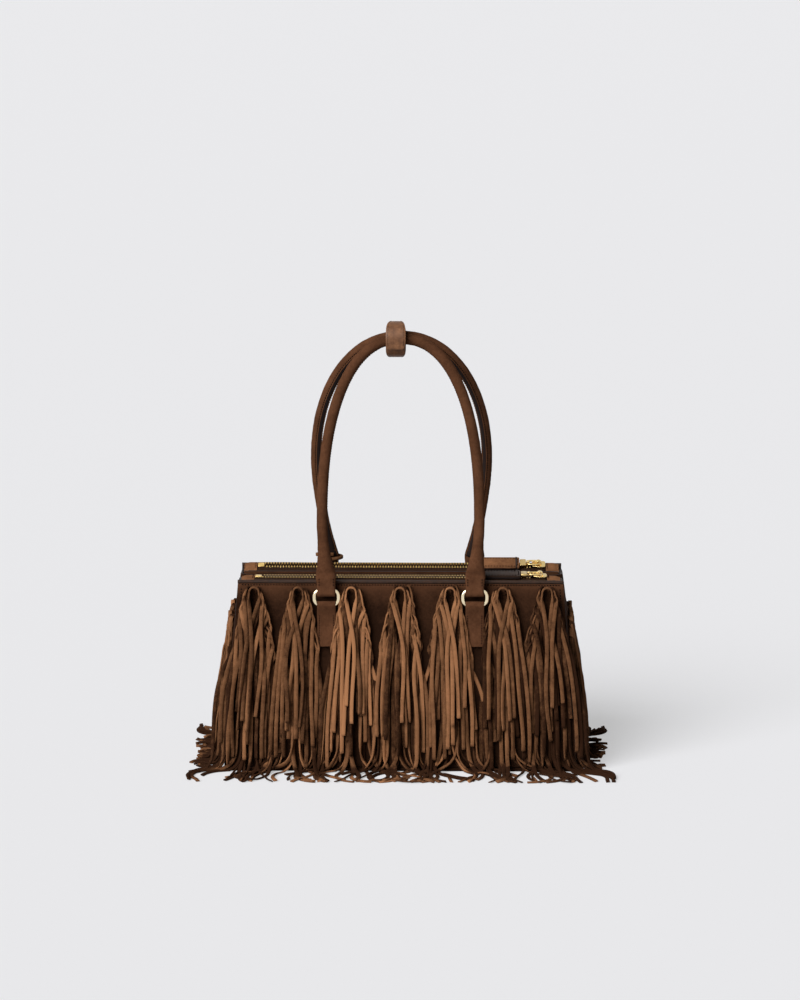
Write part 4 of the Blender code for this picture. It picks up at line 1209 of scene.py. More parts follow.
def build_handles(sizes):
    for name, side in SIDES.items():
        arch = ARCHES[name]
        route = handle_route(side, arch)
        height = route[:, 2] - BAR_Z
        lean = unit(np.array([0, side * (HANDLE_APEX_Y - RING_Y), arch["spring"] + arch["rise"]]))
        normal = np.cross([1.0, 0, 0], lean)
        sideways = unit(np.cross(np.gradient(route, axis=0), normal))
        wide, thick, square = profile_at(height)
        along = np.linspace(0, 1, len(route))
        soft = 1 + ripple(along * 4, along * 3, 31 + side, HANDLE_UNEVENNESS) * (height > 0.02)
        angles = 2 * math.pi * (np.arange(HANDLE_SIDES) + 0.5) / HANDLE_SIDES
        power = 2 / square[:, None]
        across = (wide * soft)[:, None] * signed_power(np.cos(angles)[None], power)
        depth, middle, spread = CREASE
        dent = 1 - depth * np.exp(-((height - middle) / spread) ** 2) / thick
        out = (thick * soft * dent)[:, None] * signed_power(np.sin(angles)[None], power)
        shape = Shape()
        loft(shape, route[:, None] + sideways[:, None] * across[..., None] + normal * out[..., None], 0, 1)

        # The painted edges sewn together, along the side that faces the other handle.
        inwards = normal * (-1 if side * normal[1] > 0 else 1)
        seam = height > SEAM_LOW
        near_foot = 1 - ease((height[seam] - 0.013) / 0.03)
        middle = mix(*SEAM_MIDDLE, near_foot)
        spread = mix(*SEAM_SPREAD, near_foot)

        def skin(turn, lift):
            to_side = sideways[seam] * ((wide[seam] + lift) * np.sin(turn))[:, None]
            return route[seam] + to_side + inwards * ((thick[seam] + lift) * np.cos(turn))[:, None]

        loft(shape, np.stack([skin(middle + spread * v, w) for v, w in SEAM_PROFILE], 1), 1)
        for v in (-1, 1):
            lip = np.stack([skin(middle + spread * v + a, w) for a, w in LIP_PROFILE], 1)
            loft(shape, lip, 0, tone=LIP_TONE)
            line = skin(middle + (spread + SEAM_STITCHES) * v, THREAD_LIFT)
            half = len(line) // 2
            for part in (line[:half - SEAM_BREAK], line[half + SEAM_BREAK:]):
                stitches(shape, part, inwards, sizes, 2, 0.9)

        # Stitching along the flat ends that fold round the ring bars.
        line = (0, side * RING_Y, BAR_Z) + lean * np.linspace(*FOOT_SEAM, 8)[:, None]
        line = line - inwards * (LOOP_RADIUS + 0.00005)
        for hand in (-1, 1):
            for edge in (-1, 1):
                x = hand * RING_X + edge * (TAB_WIDTH / 2 - FOOT_SEAM_INSET)
                stitches(shape, joined(x, line[:, 1], line[:, 2]), -inwards, sizes, 2, 0.85)
        shape.piece(f"{name}_carry_handle", f"{name}_carry", STRAP_FINISHES, [f"{name}_handle"])


KEEPER_MIDDLE_Z = KEEPER_Z - 0.0012
# Where the strap starts, lifts over its own end, and ends, in degrees, and its end's curve
KEEPER_START = 150
KEEPER_LIFTS = 390
KEEPER_LIFT_TURN = 110
KEEPER_END = 555
KEEPER_END_TURN = 22
KEEPER_END_NARROWS = 0.28
KEEPER_SEAM = (250, 548)
KEEPER_SEAM_INSET = 0.0016
# Where the strap draws in as it bends over the handles and under them: share, degrees, spread
KEEPER_WAISTS = ((0.42, 446, 34), (0.26, 262, 30))
# Share of the stud's radius and depth of its rings
STUD_PROFILE = ((0.95, 0.0), (1.0, 0.0002), (1.0, 0.0007), (0.85, 0.001), (0.4, 0.001), (0.3, 0.0007))


def build_keeper(sizes):
    step = KEEPER_THICKNESS + SNAP_THICKNESS + 2 * CLEARANCE + SNAP_DIAMETER ** 2 / (8 * KEEPER_BORE)
    degrees = np.arange(KEEPER_START, KEEPER_END + 1, 5)
    radius = KEEPER_BORE + KEEPER_THICKNESS / 2 + step * ease((degrees - KEEPER_LIFTS) / KEEPER_LIFT_TURN)
    angle = np.radians(degrees)
    rise = KEEPER_STRAIGHT * np.sign(np.round(np.sin(angle), 6))

    def round_handles(radius):
        return radius * np.cos(angle), KEEPER_MIDDLE_Z + rise + radius * np.sin(angle)

    ends = np.clip(np.minimum(degrees - KEEPER_START, KEEPER_END - degrees) / KEEPER_END_TURN, 0, 1)
    narrow = 1 - KEEPER_END_NARROWS * (1 - ends) ** 2.2 * (degrees > 300)
    for share, where, spread in KEEPER_WAISTS:
        narrow = narrow - share * np.exp(-((degrees - where) / spread) ** 2)
    line = smooth_line(joined(*round_handles(radius)), 1)
    width = KEEPER_WIDTH * np.interp(np.linspace(0, 1, len(line)), np.linspace(0, 1, len(narrow)), narrow)
    shape = Shape()
    strap(shape, line, width, KEEPER_THICKNESS, KEEPER_X, 10)
    keep = (degrees > KEEPER_SEAM[0]) & (degrees < KEEPER_SEAM[1])
    outs = joined(0.0, np.cos(angle), np.sin(angle))[keep]
    for edge in (-1, 1):
        x = KEEPER_X + edge * (KEEPER_WIDTH / 2 - KEEPER_SEAM_INSET) * narrow
        rail = joined(x, *round_handles(radius + KEEPER_THICKNESS / 2 + 0.00005))[keep]
        for i in range(len(rail) - 1):
            stitches(shape, rail[i:i + 2], outs[i], sizes, 2, 0.42)
    finishes = ("keeper_leather", "edge_paint", "thread")
    shape.piece("keeper", "front_carry", finishes, ["keeper_strap"], THIN_EDGE)

    shape = Shape()
    depth = KEEPER_BORE + KEEPER_THICKNESS + CLEARANCE
    turn = np.linspace(0, 2 * math.pi, 28, endpoint=False)
    rings = []
    for share, lift in STUD_PROFILE:
        r = SNAP_DIAMETER / 2 * share
        rings.append(joined(KEEPER_X + r * np.cos(turn), -depth - lift, KEEPER_MIDDLE_Z + r * np.sin(turn)))
    loft(shape, rings)
    shape.piece("keeper_stud", "front_carry", ["zip_brass"], ["keeper_snap"])


TIE_MIDDLE_Z = TIE_Z - 0.0012
TIE_RADIUS = 0.0019
TIE_TURNS = 1.22
TIE_RISE = 0.0044
TIE_CORNERS = ((1, 0.5), (0.7, 1), (-0.7, 1), (-1, 0.5), (-1, -0.5), (-0.7, -1), (0.7, -1), (1, -0.5))


def build_tie():
    height = TIE_MIDDLE_Z - BAR_Z
    wide, thick, _ = profile_at(height + 0.0024)
    reach_x = wide + CLEARANCE + TIE_RADIUS
    reach_y = thick + CLEARANCE + TIE_RADIUS
    slope = (HANDLE_APEX_Y - RING_Y) / (ARCHES["rear"]["spring"] + ARCHES["rear"]["rise"])
    turns = TIE_TURNS * np.linspace(0, 1, 70)
    angle = math.radians(-150) + 2 * math.pi * turns
    rise = TIE_RISE * turns
    middle = np.array([-RING_X, RING_Y + slope * height, TIE_MIDDLE_Z])
    path = middle + joined(reach_x * np.cos(angle), reach_y * np.sin(angle) + slope * rise, rise)
    out = unit((path - middle) * [1, 1, 0])
    up = np.cross(unit(np.gradient(path, axis=0)), out)
    rings = [path + up * TIE_RADIUS * 0.85 * a + out * TIE_RADIUS * 0.6 * b for a, b in TIE_CORNERS]
    shape = Shape()
    loft(shape, np.stack(rings, 1), tone=-0.1)
    shape.piece("tie_cord", "rear_carry", ["strip_suede"], ["handle_tie"])


# Fringe. A strip is folded over at its middle, and its two legs hang from the fold.
# Its points are kept as (along the wall, away from the bag, up) until it is placed.

LEG_POINTS = 24
LEG_ROOT_DROP = 0.0052
TASSEL_HALF_WIDTH = 0.0222
SLOT_DISORDER = 1.9
FAN_HEIGHT = 0.22
# Painted shade on the tassels towards the right end of a row, and less towards the left end
RIGHT_END_PAINTED_SHADE = 0.42
LEFT_END_PAINTED_SHADE = 0.14
TONE_SPREAD = 0.26
UPPER_LENGTHS = (0.088, 0.136)
BOW_LIMIT = 1.5
# Half width, depth below the tassel's top and outward slope of each fold's shoulders
SHOULDERS = (
    (0.0042, 0.0000, 4), (0.0066, 0.0022, 16), (0.0050, 0.0042, 10), (0.0088, 0.0085, 18),
    (0.0060, 0.0105, 10), (0.0110, 0.0165, 16), (0.0082, 0.0185, 10), (0.0134, 0.0275, 12),
    (0.0154, 0.0400, 9),
)
LONG_SHOULDERS = (
    (0.0070, 0.0120, 12), (0.0104, 0.0215, 13), (0.0136, 0.0300, 12), (0.0158, 0.0400, 9),
    (0.0172, 0.0510, 7), (0.0090, 0.0350, 8), (0.0060, 0.0260, 6), (0.0124, 0.0450, 8),
)
# How the legs settle. STRAIGHTNESS: the length that two segments keep end to end, in segments
SETTLE_STEPS = 120
LENGTH_ROUNDS = 9
MOTION_KEPT = 0.88
FALL = 0.0002
AIM_PULL = 0.10
STIFFNESS = 0.16
STRAIGHTNESS = 1.985
FLOOR_DRAG = 0.7
ABOVE_WALL = 0.0014
ABOVE_FLOOR = 0.0009
ON_FLOOR = 0.004
# How strips part: their reach along the wall, up, and outwards or upwards on the floor
PART_WIDTH = 0.0034
PART_HEIGHT = 0.0045
PART_OUT = 0.0025
PART_UP = 0.0019
PART_STEP = 0.0012
PILE_HEIGHT = 0.012


def fan(z, top_z):
    """How far a tassel has spread to each side at a height."""
    return TASSEL_HALF_WIDTH * (1 - np.exp(-np.clip(top_z - z, 0, None) / top_z / FAN_HEIGHT))


def shuffled_slots(rng, count):
    """Places from 0 to 1 from the middle outwards, swapped a little among neighbours."""
    order = np.argsort(np.arange(count) + rng.normal(0, SLOT_DISORDER, count))
    slots = np.empty(count)
    slots[order] = (np.arange(count) + 0.5) / count
    return slots


def plan_legs(rng, folds, top_z, long_legs, lift_scale, lean, reach):
    """Roots, lengths, aims, bows and tones of the legs of some folded strips; the tones differ at random and
    carry painted shade towards the ends of a row.
    """
    legs = []
    shoulders = LONG_SHOULDERS if long_legs else SHOULDERS
    slots = [shuffled_slots(rng, folds) for _ in range(2)]
    # Painted shade towards both ends of the row, most at the right
    tone = -RIGHT_END_PAINTED_SHADE * ease((lean - 0.5) / 0.4) - LEFT_END_PAINTED_SHADE * ease((-lean - 0.5) / 0.4)
    for i in range(folds):
        centre = rng.uniform(-0.0008, 0.0008)
        for side, hand in enumerate((-1, 1)):
            half, below, slope = shoulders[i % len(shoulders)]
            if i:
                half = half * rng.uniform(0.92, 1.08)
                below = below + rng.uniform(-0.002, 0.003)
            root_z = top_z - below - LEG_ROOT_DROP
            if long_legs:
                share = -0.2 + 1.5 * slots[side][i] + rng.normal(0, 0.1)
                lift = 0.0020 + rng.uniform(0, 0.0008)
                radius = rng.uniform(0.5, 1.0) * reach
                bow = hand * rng.uniform(0.3, 1.6) + lean + rng.normal(0, 0.4)
                bow = float(np.clip(bow, -BOW_LIMIT, BOW_LIMIT))
                heading = rng.uniform(-1.2, 1.2)
                spare = (reach - radius * math.cos(bow)) / max(math.cos(heading), 0.35)
                spare = max(0.006, min(rng.uniform(0.008, 0.042), spare))
                length = root_z + 0.57 * radius + spare
            else:
                share = -0.3 + 1.3 * slots[side][i] + rng.normal(0, 0.07)
                lift = 0.0076 - 0.0046 * i / folds
                radius, bow, heading = 0.020, 0.0, 0.0
                length = rng.uniform(*UPPER_LENGTHS) - 0.5 * below
            legs.append({
                "a": centre + hand * half, "z": root_z, "lift": lift * lift_scale,
                "arch": float(np.clip((below + 0.003) / 0.013, 0.38, 1)),
                "open": not long_legs and i == 0, "slope": hand * math.radians(slope),
                "length": length, "share": hand * share, "radius": radius, "bow": bow, "heading": heading,
                "rank": (0 if long_legs else 100) - i + rng.uniform(-1.0, 1.0),
                "tone": rng.normal(tone, TONE_SPREAD), "twist": rng.normal(0, 0.36),
                "roll": rng.normal(0, 0.6),
                "sway": rng.normal(0, 0.0014), "phase": rng.uniform(0, 6.3),
            })
    return legs


def column(legs, key):
    return np.array([leg[key] for leg in legs])[:, None]


def aims(legs, z, centre, top_z, widen):
    """Where each leg's points tend to, along the wall."""
    root = column(legs, "z")
    fall = np.clip((root - z) / 0.045, 0, 1)
    middle = centre * (1 + widen * (top_z - z))
    wave = column(legs, "sway") * np.sin(column(legs, "phase") + (root - z) * 50) * fall
    return middle + mix(column(legs, "a"), column(legs, "share") * fan(z, top_z), ease(fall)) + wave


def first_shape(leg, centre, top_z, widen, wall):
    """Straight down, then a bow to one side that turns to its heading on the floor."""
    seg = leg["length"] / (LEG_POINTS - 1)
    s = np.arange(LEG_POINTS) * seg
    radius = leg["radius"]
    drop = leg["z"] - radius - 0.001
    fine = np.linspace(0, leg["length"], 8 * LEG_POINTS)
    dip = np.clip((fine - drop) / radius, 0, math.pi / 2)
    facing = mix(leg["bow"], leg["heading"], ease((fine - drop - radius) / radius))
    away = np.sin(dip)
    across, out, down = [
        np.interp(s, fine, np.cumsum(part) * fine[1])
        for part in (away * np.sin(facing), away * np.cos(facing), np.cos(dip))
    ]
    z = leg["z"] - down
    a = aims([leg], z[None], centre, top_z, widen)[0] + across
    return joined(a, wall(a, np.maximum(z, radius)) + leg["lift"] + 0.002 + out, z), seg


def settle(legs, centre, top_z, widen, wall, most, ends):
    """Lets the legs of one tassel hang, touch each other and lie down on the floor."""
    pos, seg = map(np.array, zip(*(first_shape(leg, centre, top_z, widen, wall) for leg in legs)))
    seg = seg[:, None, None]
    radius = column(legs, "radius")
    slope = column(legs, "slope")[:, 0]
    root = pos[:, :2].copy()
    root[:, 0, 0] = centre + column(legs, "a")[:, 0]
    root[:, 1] = root[:, 0]
    root[:, 1, 0] += seg[:, 0, 0] * np.sin(slope)
    root[:, 1, 2] -= seg[:, 0, 0] * np.cos(slope)
    root[..., 1] = wall(root[..., 0], root[..., 2]) + column(legs, "lift")
    rank = np.repeat([leg["rank"] for leg in legs], LEG_POINTS)
    owner = np.repeat(np.arange(len(legs)), LEG_POINTS)
    other = owner[:, None] != owner[None, :]
    order = np.sign(rank[:, None] - rank[None, :])
    last = pos.copy()
    for step in range(SETTLE_STEPS):
        moved = (pos - last) * MOTION_KEPT
        last = pos.copy()
        pos = pos + moved
        pos[..., 2] -= FALL
        target = aims(legs, pos[..., 2], centre, top_z, widen)
        pos[..., 0] += (target - pos[..., 0]) * AIM_PULL * ease((pos[..., 2] - radius) / 0.03)
        for _ in range(LENGTH_ROUNDS):
            pos[:, :2] = root
            for start in (0, 1):
                a = pos[:, start:-1:2]
                b = pos[:, start + 1::2]
                gap = b - a
                size = np.linalg.norm(gap, axis=-1, keepdims=True)
                move = gap * (0.5 * (1 - seg / np.maximum(size, 1e-9)))
                a += move
                b -= move
            gap = pos[:, 2:] - pos[:, :-2]
            size = np.linalg.norm(gap, axis=-1, keepdims=True)
            short = np.maximum(seg * STRAIGHTNESS - size, 0)
            move = gap / np.maximum(size, 1e-9) * short * STIFFNESS
            pos[:, 2:] += move
            pos[:, :-2] -= move
            pos[..., 1] = np.maximum(pos[..., 1], wall(pos[..., 0], pos[..., 2]) + ABOVE_WALL)
            pos[..., 1] = np.minimum(pos[..., 1], most)
            pos[..., 0] = np.clip(pos[..., 0], -ends, ends)
            pos[..., 2] = np.maximum(pos[..., 2], ABOVE_FLOOR)
        pos[:, :2] = root
        down = pos[..., 2] < ON_FLOOR
        last[down, :2] = mix(last[down, :2], pos[down, :2], FLOOR_DRAG)
        if step % 4 == 3:
            part_strips(pos, other, order)
            pos[:, :2] = root
    return pos


def part_strips(pos, other, order):
    """Moves strips apart where they pass through each other: the later ones outwards, or up on the floor."""
    flat = pos.reshape(-1, 3)
    gap = flat[:, None] - flat[None]
    high = flat[:, 2] > PILE_HEIGHT

    def push(axis, across, across_size, size, near, where):
        beside = (gap[..., 0] / PART_WIDTH) ** 2 + (gap[..., across] / across_size) ** 2
        want = size * np.sqrt(np.clip(1 - beside, 0, 1))
        close = (beside < 1) * other * (np.abs(gap[..., axis]) < near)
        lack = np.clip(want - gap[..., axis] * order, 0, PART_STEP) * close
        lack *= where[:, None] & where[None]
        return (lack * order).sum(1) / np.maximum((lack > 0).sum(1), 1)

    flat[:, 1] += push(1, 2, PART_HEIGHT, PART_OUT, 0.0040, high) * 0.6
    flat[:, 2] += np.maximum(push(2, 1, PART_WIDTH, PART_UP, 0.0035, ~high), 0) * 0.8


def finer(path):
    """Doubles the points of many lines at once, on a smooth curve."""
    padded = np.concatenate([2 * path[:, :1] - path[:, 1:2], path, 2 * path[:, -1:] - path[:, -2:-1]], 1)
    middle = (-padded[:, :-3] + 9 * padded[:, 1:-2] + 9 * padded[:, 2:-1] - padded[:, 3:]) / 16
    result = np.empty((path.shape[0], path.shape[1] * 2 - 1, 3))
    result[:, ::2] = path
    result[:, 1::2] = middle
    return result


FOLD_POINTS = 17
# Shares of the fold's half width and of the way out from the wall, and rise, up one side
FOLD_SIDE = (
    (1.00, 1.00, 0.0), (0.96, 1.00, 0.0045), (0.88, 0.95, 0.0085), (0.75, 0.80, 0.0118),
    (0.60, 0.45, 0.0130), (0.44, 0.0, 0.0110),
)
FOLD_BEHIND_WALL = 0.0035


def fold_line(left, right, wall, is_open, arch):
    """The middle of a strip, from the top of its left leg to the top of its right leg."""
    half = (right[0] - left[0]) / 2
    middle = (left + right) / 2
    if is_open:
        angle = np.linspace(math.pi, 0, FOLD_POINTS)[1:-1]
        return joined(
            middle[0] + half * np.cos(angle), middle[1], middle[2] + LEG_ROOT_DROP * np.sin(angle) ** 0.8)
    inside = wall(middle[0], middle[2]) - FOLD_BEHIND_WALL
    path = []
    for top, hand, rows in ((left, -1, FOLD_SIDE), (right, 1, FOLD_SIDE[::-1])):
        for share, depth, up in rows:
            path.append((middle[0] + hand * share * half, mix(inside, top[1], depth), top[2] + up * arch))
    path.insert(len(FOLD_SIDE), (middle[0], inside - 0.001, middle[2] - 0.002))
    path = smooth_line(path)
    at = np.linspace(0, len(path) - 1, FOLD_POINTS)[1:-1]
    return joined(*(np.interp(at, np.arange(len(path)), path[:, k]) for k in range(3)))


def leg_widths(legs, pos):
    """Which way each leg's width points: edge on at the fold, then flat, then level in its bow."""
    tangent = unit(np.gradient(pos, axis=1))
    steps = np.linalg.norm(np.diff(pos, axis=1), axis=-1)
    along = np.concatenate([np.zeros((len(pos), 1)), np.cumsum(steps, axis=1)], 1)
    twist = column(legs, "twist")
    start = np.where(column(legs, "open"), 0.0, 0.004)
    turn = (math.pi / 2 + 0.5 * twist) * ease((along + start - 0.001) / 0.013)
    turn = turn + twist * ease((along - 0.05) / 0.06)
    width = joined(np.sign(column(legs, "slope")) * np.sin(turn), np.cos(turn), 0.0)
    slant = np.linalg.norm(tangent[..., :2], axis=-1)
    weight = ease((slant - 0.25) / 0.4) * (pos[..., 2] < 0.06)
    level = joined(tangent[..., 1], -tangent[..., 0], 0.0) / np.maximum(slant, 1e-6)[..., None]

    # Keeps each leg's level direction on one side, from its top to its end.
    before = width[:, 0] * 0
    for i in range(pos.shape[1]):
        known = np.where((weight[:, i] > 0)[:, None], level[:, i], before)
        toward = np.where(np.abs(before).sum(-1, keepdims=True) > 0, before, width[:, i])
        before = known * np.where((known * toward).sum(-1, keepdims=True) < 0, -1.0, 1.0)
        level[:, i] = before

    # Carries it up from the bow, fading out on the way.
    amount = np.zeros(len(pos))
    carried = before
    for i in range(pos.shape[1] - 1, -1, -1):
        strong = (weight[:, i] >= amount - 1e-9) & (weight[:, i] > 0)
        carried = np.where(strong[:, None], level[:, i], carried)
        amount = np.maximum(amount, weight[:, i])
        width[:, i] = unit(mix(width[:, i], carried, ease(amount)[:, None]) + 1e-6)
        amount = np.maximum(amount - steps[:, max(i - 1, 0)] / 0.045, 0)
    roll = (column(legs, "roll") * ease((0.030 - pos[..., 2]) / 0.025))[..., None]
    return np.cos(roll) * width + np.sin(roll) * np.cross(tangent, width)


def shading(line):
    """How much painted shade each point of some strips gets from the strips that hang in front of it."""
    flat = line.reshape(-1, 3)
    gap = flat[None] - flat[:, None]
    near = np.exp(-(gap[..., 0] / 0.0024) ** 2 - (gap[..., 2] / 0.0030) ** 2) * (gap[..., 1] > 0.0009)
    return np.minimum(near.sum(1) / 2.6, 2.2).reshape(line.shape[:2])


STRIP_EDGE = 0.00025
STRIP_BRIGHTNESS = 0.07
COVER_PAINTED_SHADE = 0.44
LOW_DARKENING = 0.14
LOW_HEIGHT = 0.085


def add_strips(shape, legs, pos, sizes, place, wall):
    """Joins each pair of legs over their fold and gives the strip its width."""
    pos = finer(pos)
    width = leg_widths(legs, pos)
    left = pos[0::2, ::-1]
    right = pos[1::2]
    fold = np.array([
        fold_line(l[-1], r[0], wall, leg["open"], leg["arch"]) for l, r, leg in zip(left, right, legs[0::2])
    ])
    line = np.concatenate([left, fold, right], 1)
    tangent = unit(np.gradient(line, axis=1))
    across = np.linspace(-1, 1, fold.shape[1])[None, :, None]
    over = width[0::2, :1] * np.clip(-across, 0, 1) + width[1::2, :1] * np.clip(across, 0, 1)
    over = over + (1 - np.abs(across)) * np.array([0, 1, 0])
    wide = np.concatenate([width[0::2, ::-1], over, width[1::2]], 1)
    wide = unit(wide - tangent * (wide * tangent).sum(-1, keepdims=True))
    thin = np.cross(tangent, wide)
    w = sizes.strip_width / 2
    t = sizes.strip_thickness / 2
    corner = ((w, t - STRIP_EDGE), (w - STRIP_EDGE, t))
    corners = [*corner, *((-x, y) for x, y in corner[::-1])]
    corners += [(-x, -y) for x, y in corners]
    rings = np.stack([line + wide * x + thin * y for x, y in corners], 2)
    rings[..., 2] = np.maximum(rings[..., 2], 0.0003)
    for strip, cover, leg in zip(place(rings), shading(line), legs[0::2]):
        low = ease((LOW_HEIGHT - strip[:, 0, 2]) / LOW_HEIGHT)
        # Random tone per strip, painted shade from the strips in front, and darker towards the floor
        tone = leg["tone"] + STRIP_BRIGHTNESS - COVER_PAINTED_SHADE * cover - LOW_DARKENING * low
        loft(shape, strip, tone=np.repeat(tone, len(corners)))


def build_tassel(sizes, shape, seed, centre, place, wall, top_z, widen, most, ends, lift_scale, reach):
    """most, ends: how far its strips may spread outwards and along. reach: of its bows on the floor."""
    rng = np.random.default_rng(seed)
    lean = 0.9 * centre / TASSEL_X[-1]
    legs = plan_legs(rng, sizes.long_strips, top_z, True, lift_scale, lean, reach)
    legs += plan_legs(rng, sizes.upper_strips, top_z, False, lift_scale, lean, reach)
    pos = settle(legs, centre, top_z, widen, wall, most, ends)
    add_strips(shape, legs, pos, sizes, place, wall)


def build_fringe(sizes):
    widen = (BASE_LENGTH / RIM_LENGTH - 1) / PANEL_TOP
    on_panel = (panel_depth, TASSEL_TOP, widen, 0.097, 0.183, 1.0, 0.036)
    on_gusset = (gusset_reach, SIDE_TASSEL_TOP, 0.0, 0.182, 0.088, 0.4, 0.017)
    for row, side in SIDES.items():
        for number, centre in enumerate(TASSEL_X, start=1):
            shape = Shape()
            seed = 100 * (side + 2) + number
            build_tassel(sizes, shape, seed, centre, lambda points: points * (1, side, 1), *on_panel)
            name = f"{row}_tassel_{number}"
            shape.piece(f"{name}_strips", "bag", ["strip_suede"], [name])
    for name, side in (("left", -1), ("right", 1)):
        shape = Shape()
        for number, centre in enumerate(SIDE_TASSEL_Y):
            seed = 900 + 10 * side + number
            build_tassel(
                sizes, shape, seed, centre, lambda points: points[..., [1, 0, 2]] * (side, 1, 1), *on_gusset)
        shape.piece(f"{name}_side_strips", "bag", ["strip_suede"], [f"{name}_side_fringe"])


# Stage

FLOOR_HALF_SIZE = 60.0
FLOOR_COLOUR = (0.42, 0.42, 0.44)
FLOOR_GLOW = (0.45, 0.45, 0.45)
KEY_TURN = (math.radians(40), math.radians(-40), 0)
VIEW_TARGET = (-0.0010, 0.0, 0.2265)
VIEW_HEIGHT = 0.865
SENSOR_HEIGHT = 24.0


def link_object(name, data):
    item = bpy.data.objects.new(name, data)
    bpy.context.scene.collection.objects.link(item)
    return item


def backdrop_rays(tree):
    """1 for the rays that see the backdrop: from the camera, off shiny surfaces and through clear ones."""
    path = tree.nodes.new("ShaderNodeLightPath").outputs
    seen = Signal(tree, path["Is Camera Ray"]) + Signal(tree, path["Is Glossy Ray"])
    return seen.clamped_sum(Signal(tree, path["Is Transmission Ray"]))


def build_floor():
    mesh = bpy.data.meshes.new("floor")
    corners = [(x * FLOOR_HALF_SIZE, y * FLOOR_HALF_SIZE, 0) for x, y in ((-1, -1), (1, -1), (1, 1), (-1, 1))]
    mesh.from_pydata(corners, [], [(0, 1, 2, 3)])
    floor = link_object("floor", mesh)
    material = bpy.data.materials.new("floor_paper")
    material.use_nodes = True
    tree = material.node_tree
    fill_sockets(tree, tree.nodes["Principled BSDF"], {
        "Base Color": rgba(FLOOR_COLOUR), "Roughness": 0.9, "Specular IOR Level": 0.1,
        "Emission Strength": 1.0, "Emission Color": backdrop_rays(tree).blend((0, 0, 0, 1), rgba(FLOOR_GLOW)),
    })
    mesh.materials.append(material)


def build_world(stage, colours):
    """Soft light, strongest from above and the left, and the backdrop that the camera sees."""
    world = bpy.data.worlds.new("studio")
    bpy.context.scene.world = world
    world.use_nodes = True
    tree = world.node_tree
    where = Signal(tree, tree.nodes.new("ShaderNodeTexCoord").outputs["Generated"])
    x, y, z = where.split()
    light = z.at_least(0.0) * 0.9 + x * -0.45 + (y * -0.25 + 0.6)
    seen = backdrop_rays(tree)
    fill_sockets(tree, tree.nodes["Background"], {
        "Color": seen.blend((1, 1, 1, 1), rgba(colours.floor)),
        "Strength": light.at_least(0.05) * stage.sky * (1.0 - seen) + seen,
    })


def build_stage(stage, colours):
    build_floor()
    lamp = bpy.data.lights.new("key", "SUN")
    lamp.energy = stage.key
    lamp.angle = stage.key_softness
    link_object("key", lamp).rotation_euler = KEY_TURN
    build_world(stage, colours)

    up, turn = stage.camera_height, stage.camera_turn
    away = np.array([math.sin(turn) * math.cos(up), -math.cos(turn) * math.cos(up), math.sin(up)])
    view = bpy.data.cameras.new("camera")
    view.sensor_fit = "VERTICAL"
    view.sensor_height = SENSOR_HEIGHT
    view.lens = SENSOR_HEIGHT * stage.camera_distance / VIEW_HEIGHT
    view.clip_end = 200
    camera = link_object("camera", view)
    camera.location = VIEW_TARGET + away * stage.camera_distance
    camera.rotation_euler = (math.pi / 2 - up, 0, turn)
    bpy.context.scene.camera = camera
    bpy.context.scene.view_settings.view_transform = "Standard"


# The add-on

class BAG_OT_finishes(bpy.types.Operator):
    """Makes the bag's materials"""
    bl_idname = "bag.make_finishes"
    bl_label = "Finishes"

    def execute(self, context):
        make_finishes(context.scene.bag_colours)
        return {"FINISHED"}


class BAG_OT_walls(bpy.types.Operator):
    """Builds the base, the outer walls, the ends and the inner walls"""
    bl_idname = "bag.build_walls"
    bl_label = "Walls"

    def execute(self, context):
        build_walls()
        return {"FINISHED"}


class BAG_OT_rim(bpy.types.Operator):
    """Builds the rim bindings and the stitching of the walls"""
    bl_idname = "bag.build_rim"
    bl_label = "Rim"

    def execute(self, context):
        build_rim(context.scene.bag_sizes)
        return {"FINISHED"}


class BAG_OT_zips(bpy.types.Operator):
    """Builds the zips' tapes, teeth, stops and end patches"""
    bl_idname = "bag.build_zips"
    bl_label = "Zips"

    def execute(self, context):
        build_zips(context.scene.bag_sizes)
        return {"FINISHED"}


class BAG_OT_pulls(bpy.types.Operator):
    """Builds the zips' sliders, links, clamps and leather pulls"""
    bl_idname = "bag.build_pulls"
    bl_label = "Zip pulls"

    def execute(self, context):
        build_pulls(context.scene.bag_sizes)
        return {"FINISHED"}


class BAG_OT_rings(bpy.types.Operator):
    """Builds the handle rings and the tabs that hold them"""
    bl_idname = "bag.build_rings"
    bl_label = "Rings and tabs"

    def execute(self, context):
        build_rings(context.scene.bag_sizes)
        return {"FINISHED"}


class BAG_OT_handles(bpy.types.Operator):
    """Builds the two rolled handles"""
    bl_idname = "bag.build_handles"
    bl_label = "Handles"

    def execute(self, context):
        build_handles(context.scene.bag_sizes)
        return {"FINISHED"}


class BAG_OT_keeper(bpy.types.Operator):
    """Builds the keeper strap and its stud"""
    bl_idname = "bag.build_keeper"
    bl_label = "Keeper"

    def execute(self, context):
        build_keeper(context.scene.bag_sizes)
        return {"FINISHED"}


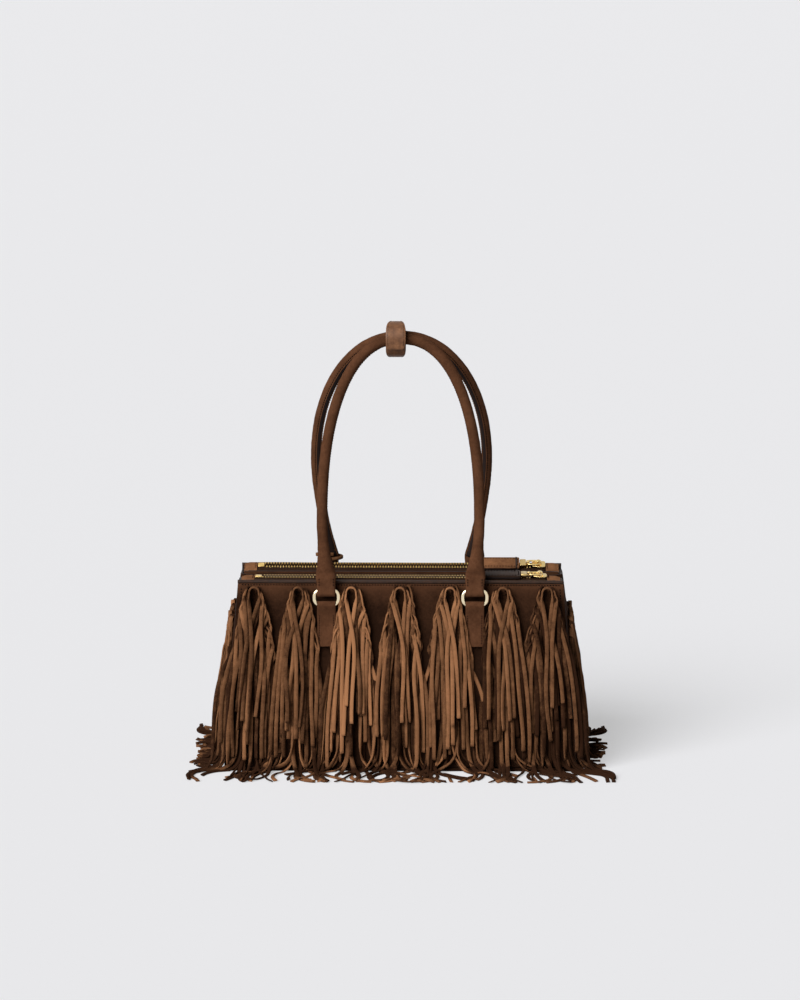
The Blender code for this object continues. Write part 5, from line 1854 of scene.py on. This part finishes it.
class BAG_OT_tie(bpy.types.Operator):
    """Builds the cord round the foot of the rear left handle"""
    bl_idname = "bag.build_tie"
    bl_label = "Tie"

    def execute(self, context):
        build_tie()
        return {"FINISHED"}


class BAG_OT_fringe(bpy.types.Operator):
    """Lets the strips of the fringe settle and builds them"""
    bl_idname = "bag.build_fringe"
    bl_label = "Fringe"

    def execute(self, context):
        build_fringe(context.scene.bag_sizes)
        return {"FINISHED"}


class BAG_OT_stage(bpy.types.Operator):
    """Makes the floor, the light and the camera"""
    bl_idname = "bag.build_stage"
    bl_label = "Stage"

    def execute(self, context):
        build_stage(context.scene.bag_stage, context.scene.bag_colours)
        return {"FINISHED"}


OPERATORS = (
    BAG_OT_finishes, BAG_OT_walls, BAG_OT_rim, BAG_OT_zips, BAG_OT_pulls, BAG_OT_rings,
    BAG_OT_handles, BAG_OT_keeper, BAG_OT_tie, BAG_OT_fringe, BAG_OT_stage,
)


class BAG_PT_panel(bpy.types.Panel):
    """Sizes, colours and steps of the bag"""
    bl_idname = "BAG_PT_panel"
    bl_label = "Fringed suede bag"
    bl_space_type = "VIEW_3D"
    bl_region_type = "UI"
    bl_category = "Bag"

    def draw(self, context):
        scene = context.scene
        for group in (scene.bag_sizes, scene.bag_colours, scene.bag_stage):
            for key in group.bl_rna.properties.keys():
                if key not in ("rna_type", "name"):
                    self.layout.prop(group, key)
        for operator in OPERATORS:
            self.layout.operator(operator.bl_idname)


CLASSES = (BagColours, BagSizes, BagStage, *OPERATORS, BAG_PT_panel)


def register():
    for item in CLASSES:
        bpy.utils.register_class(item)
    bpy.types.Scene.bag_sizes = bpy.props.PointerProperty(type=BagSizes)
    bpy.types.Scene.bag_colours = bpy.props.PointerProperty(type=BagColours)
    bpy.types.Scene.bag_stage = bpy.props.PointerProperty(type=BagStage)


def unregister():
    del bpy.types.Scene.bag_stage
    del bpy.types.Scene.bag_colours
    del bpy.types.Scene.bag_sizes
    for item in reversed(CLASSES):
        bpy.utils.unregister_class(item)


def main():
    register()
    for operator in OPERATORS:
        namespace, name = operator.bl_idname.split(".")
        getattr(getattr(bpy.ops, namespace), name)()


if __name__ == "__main__":
    main()
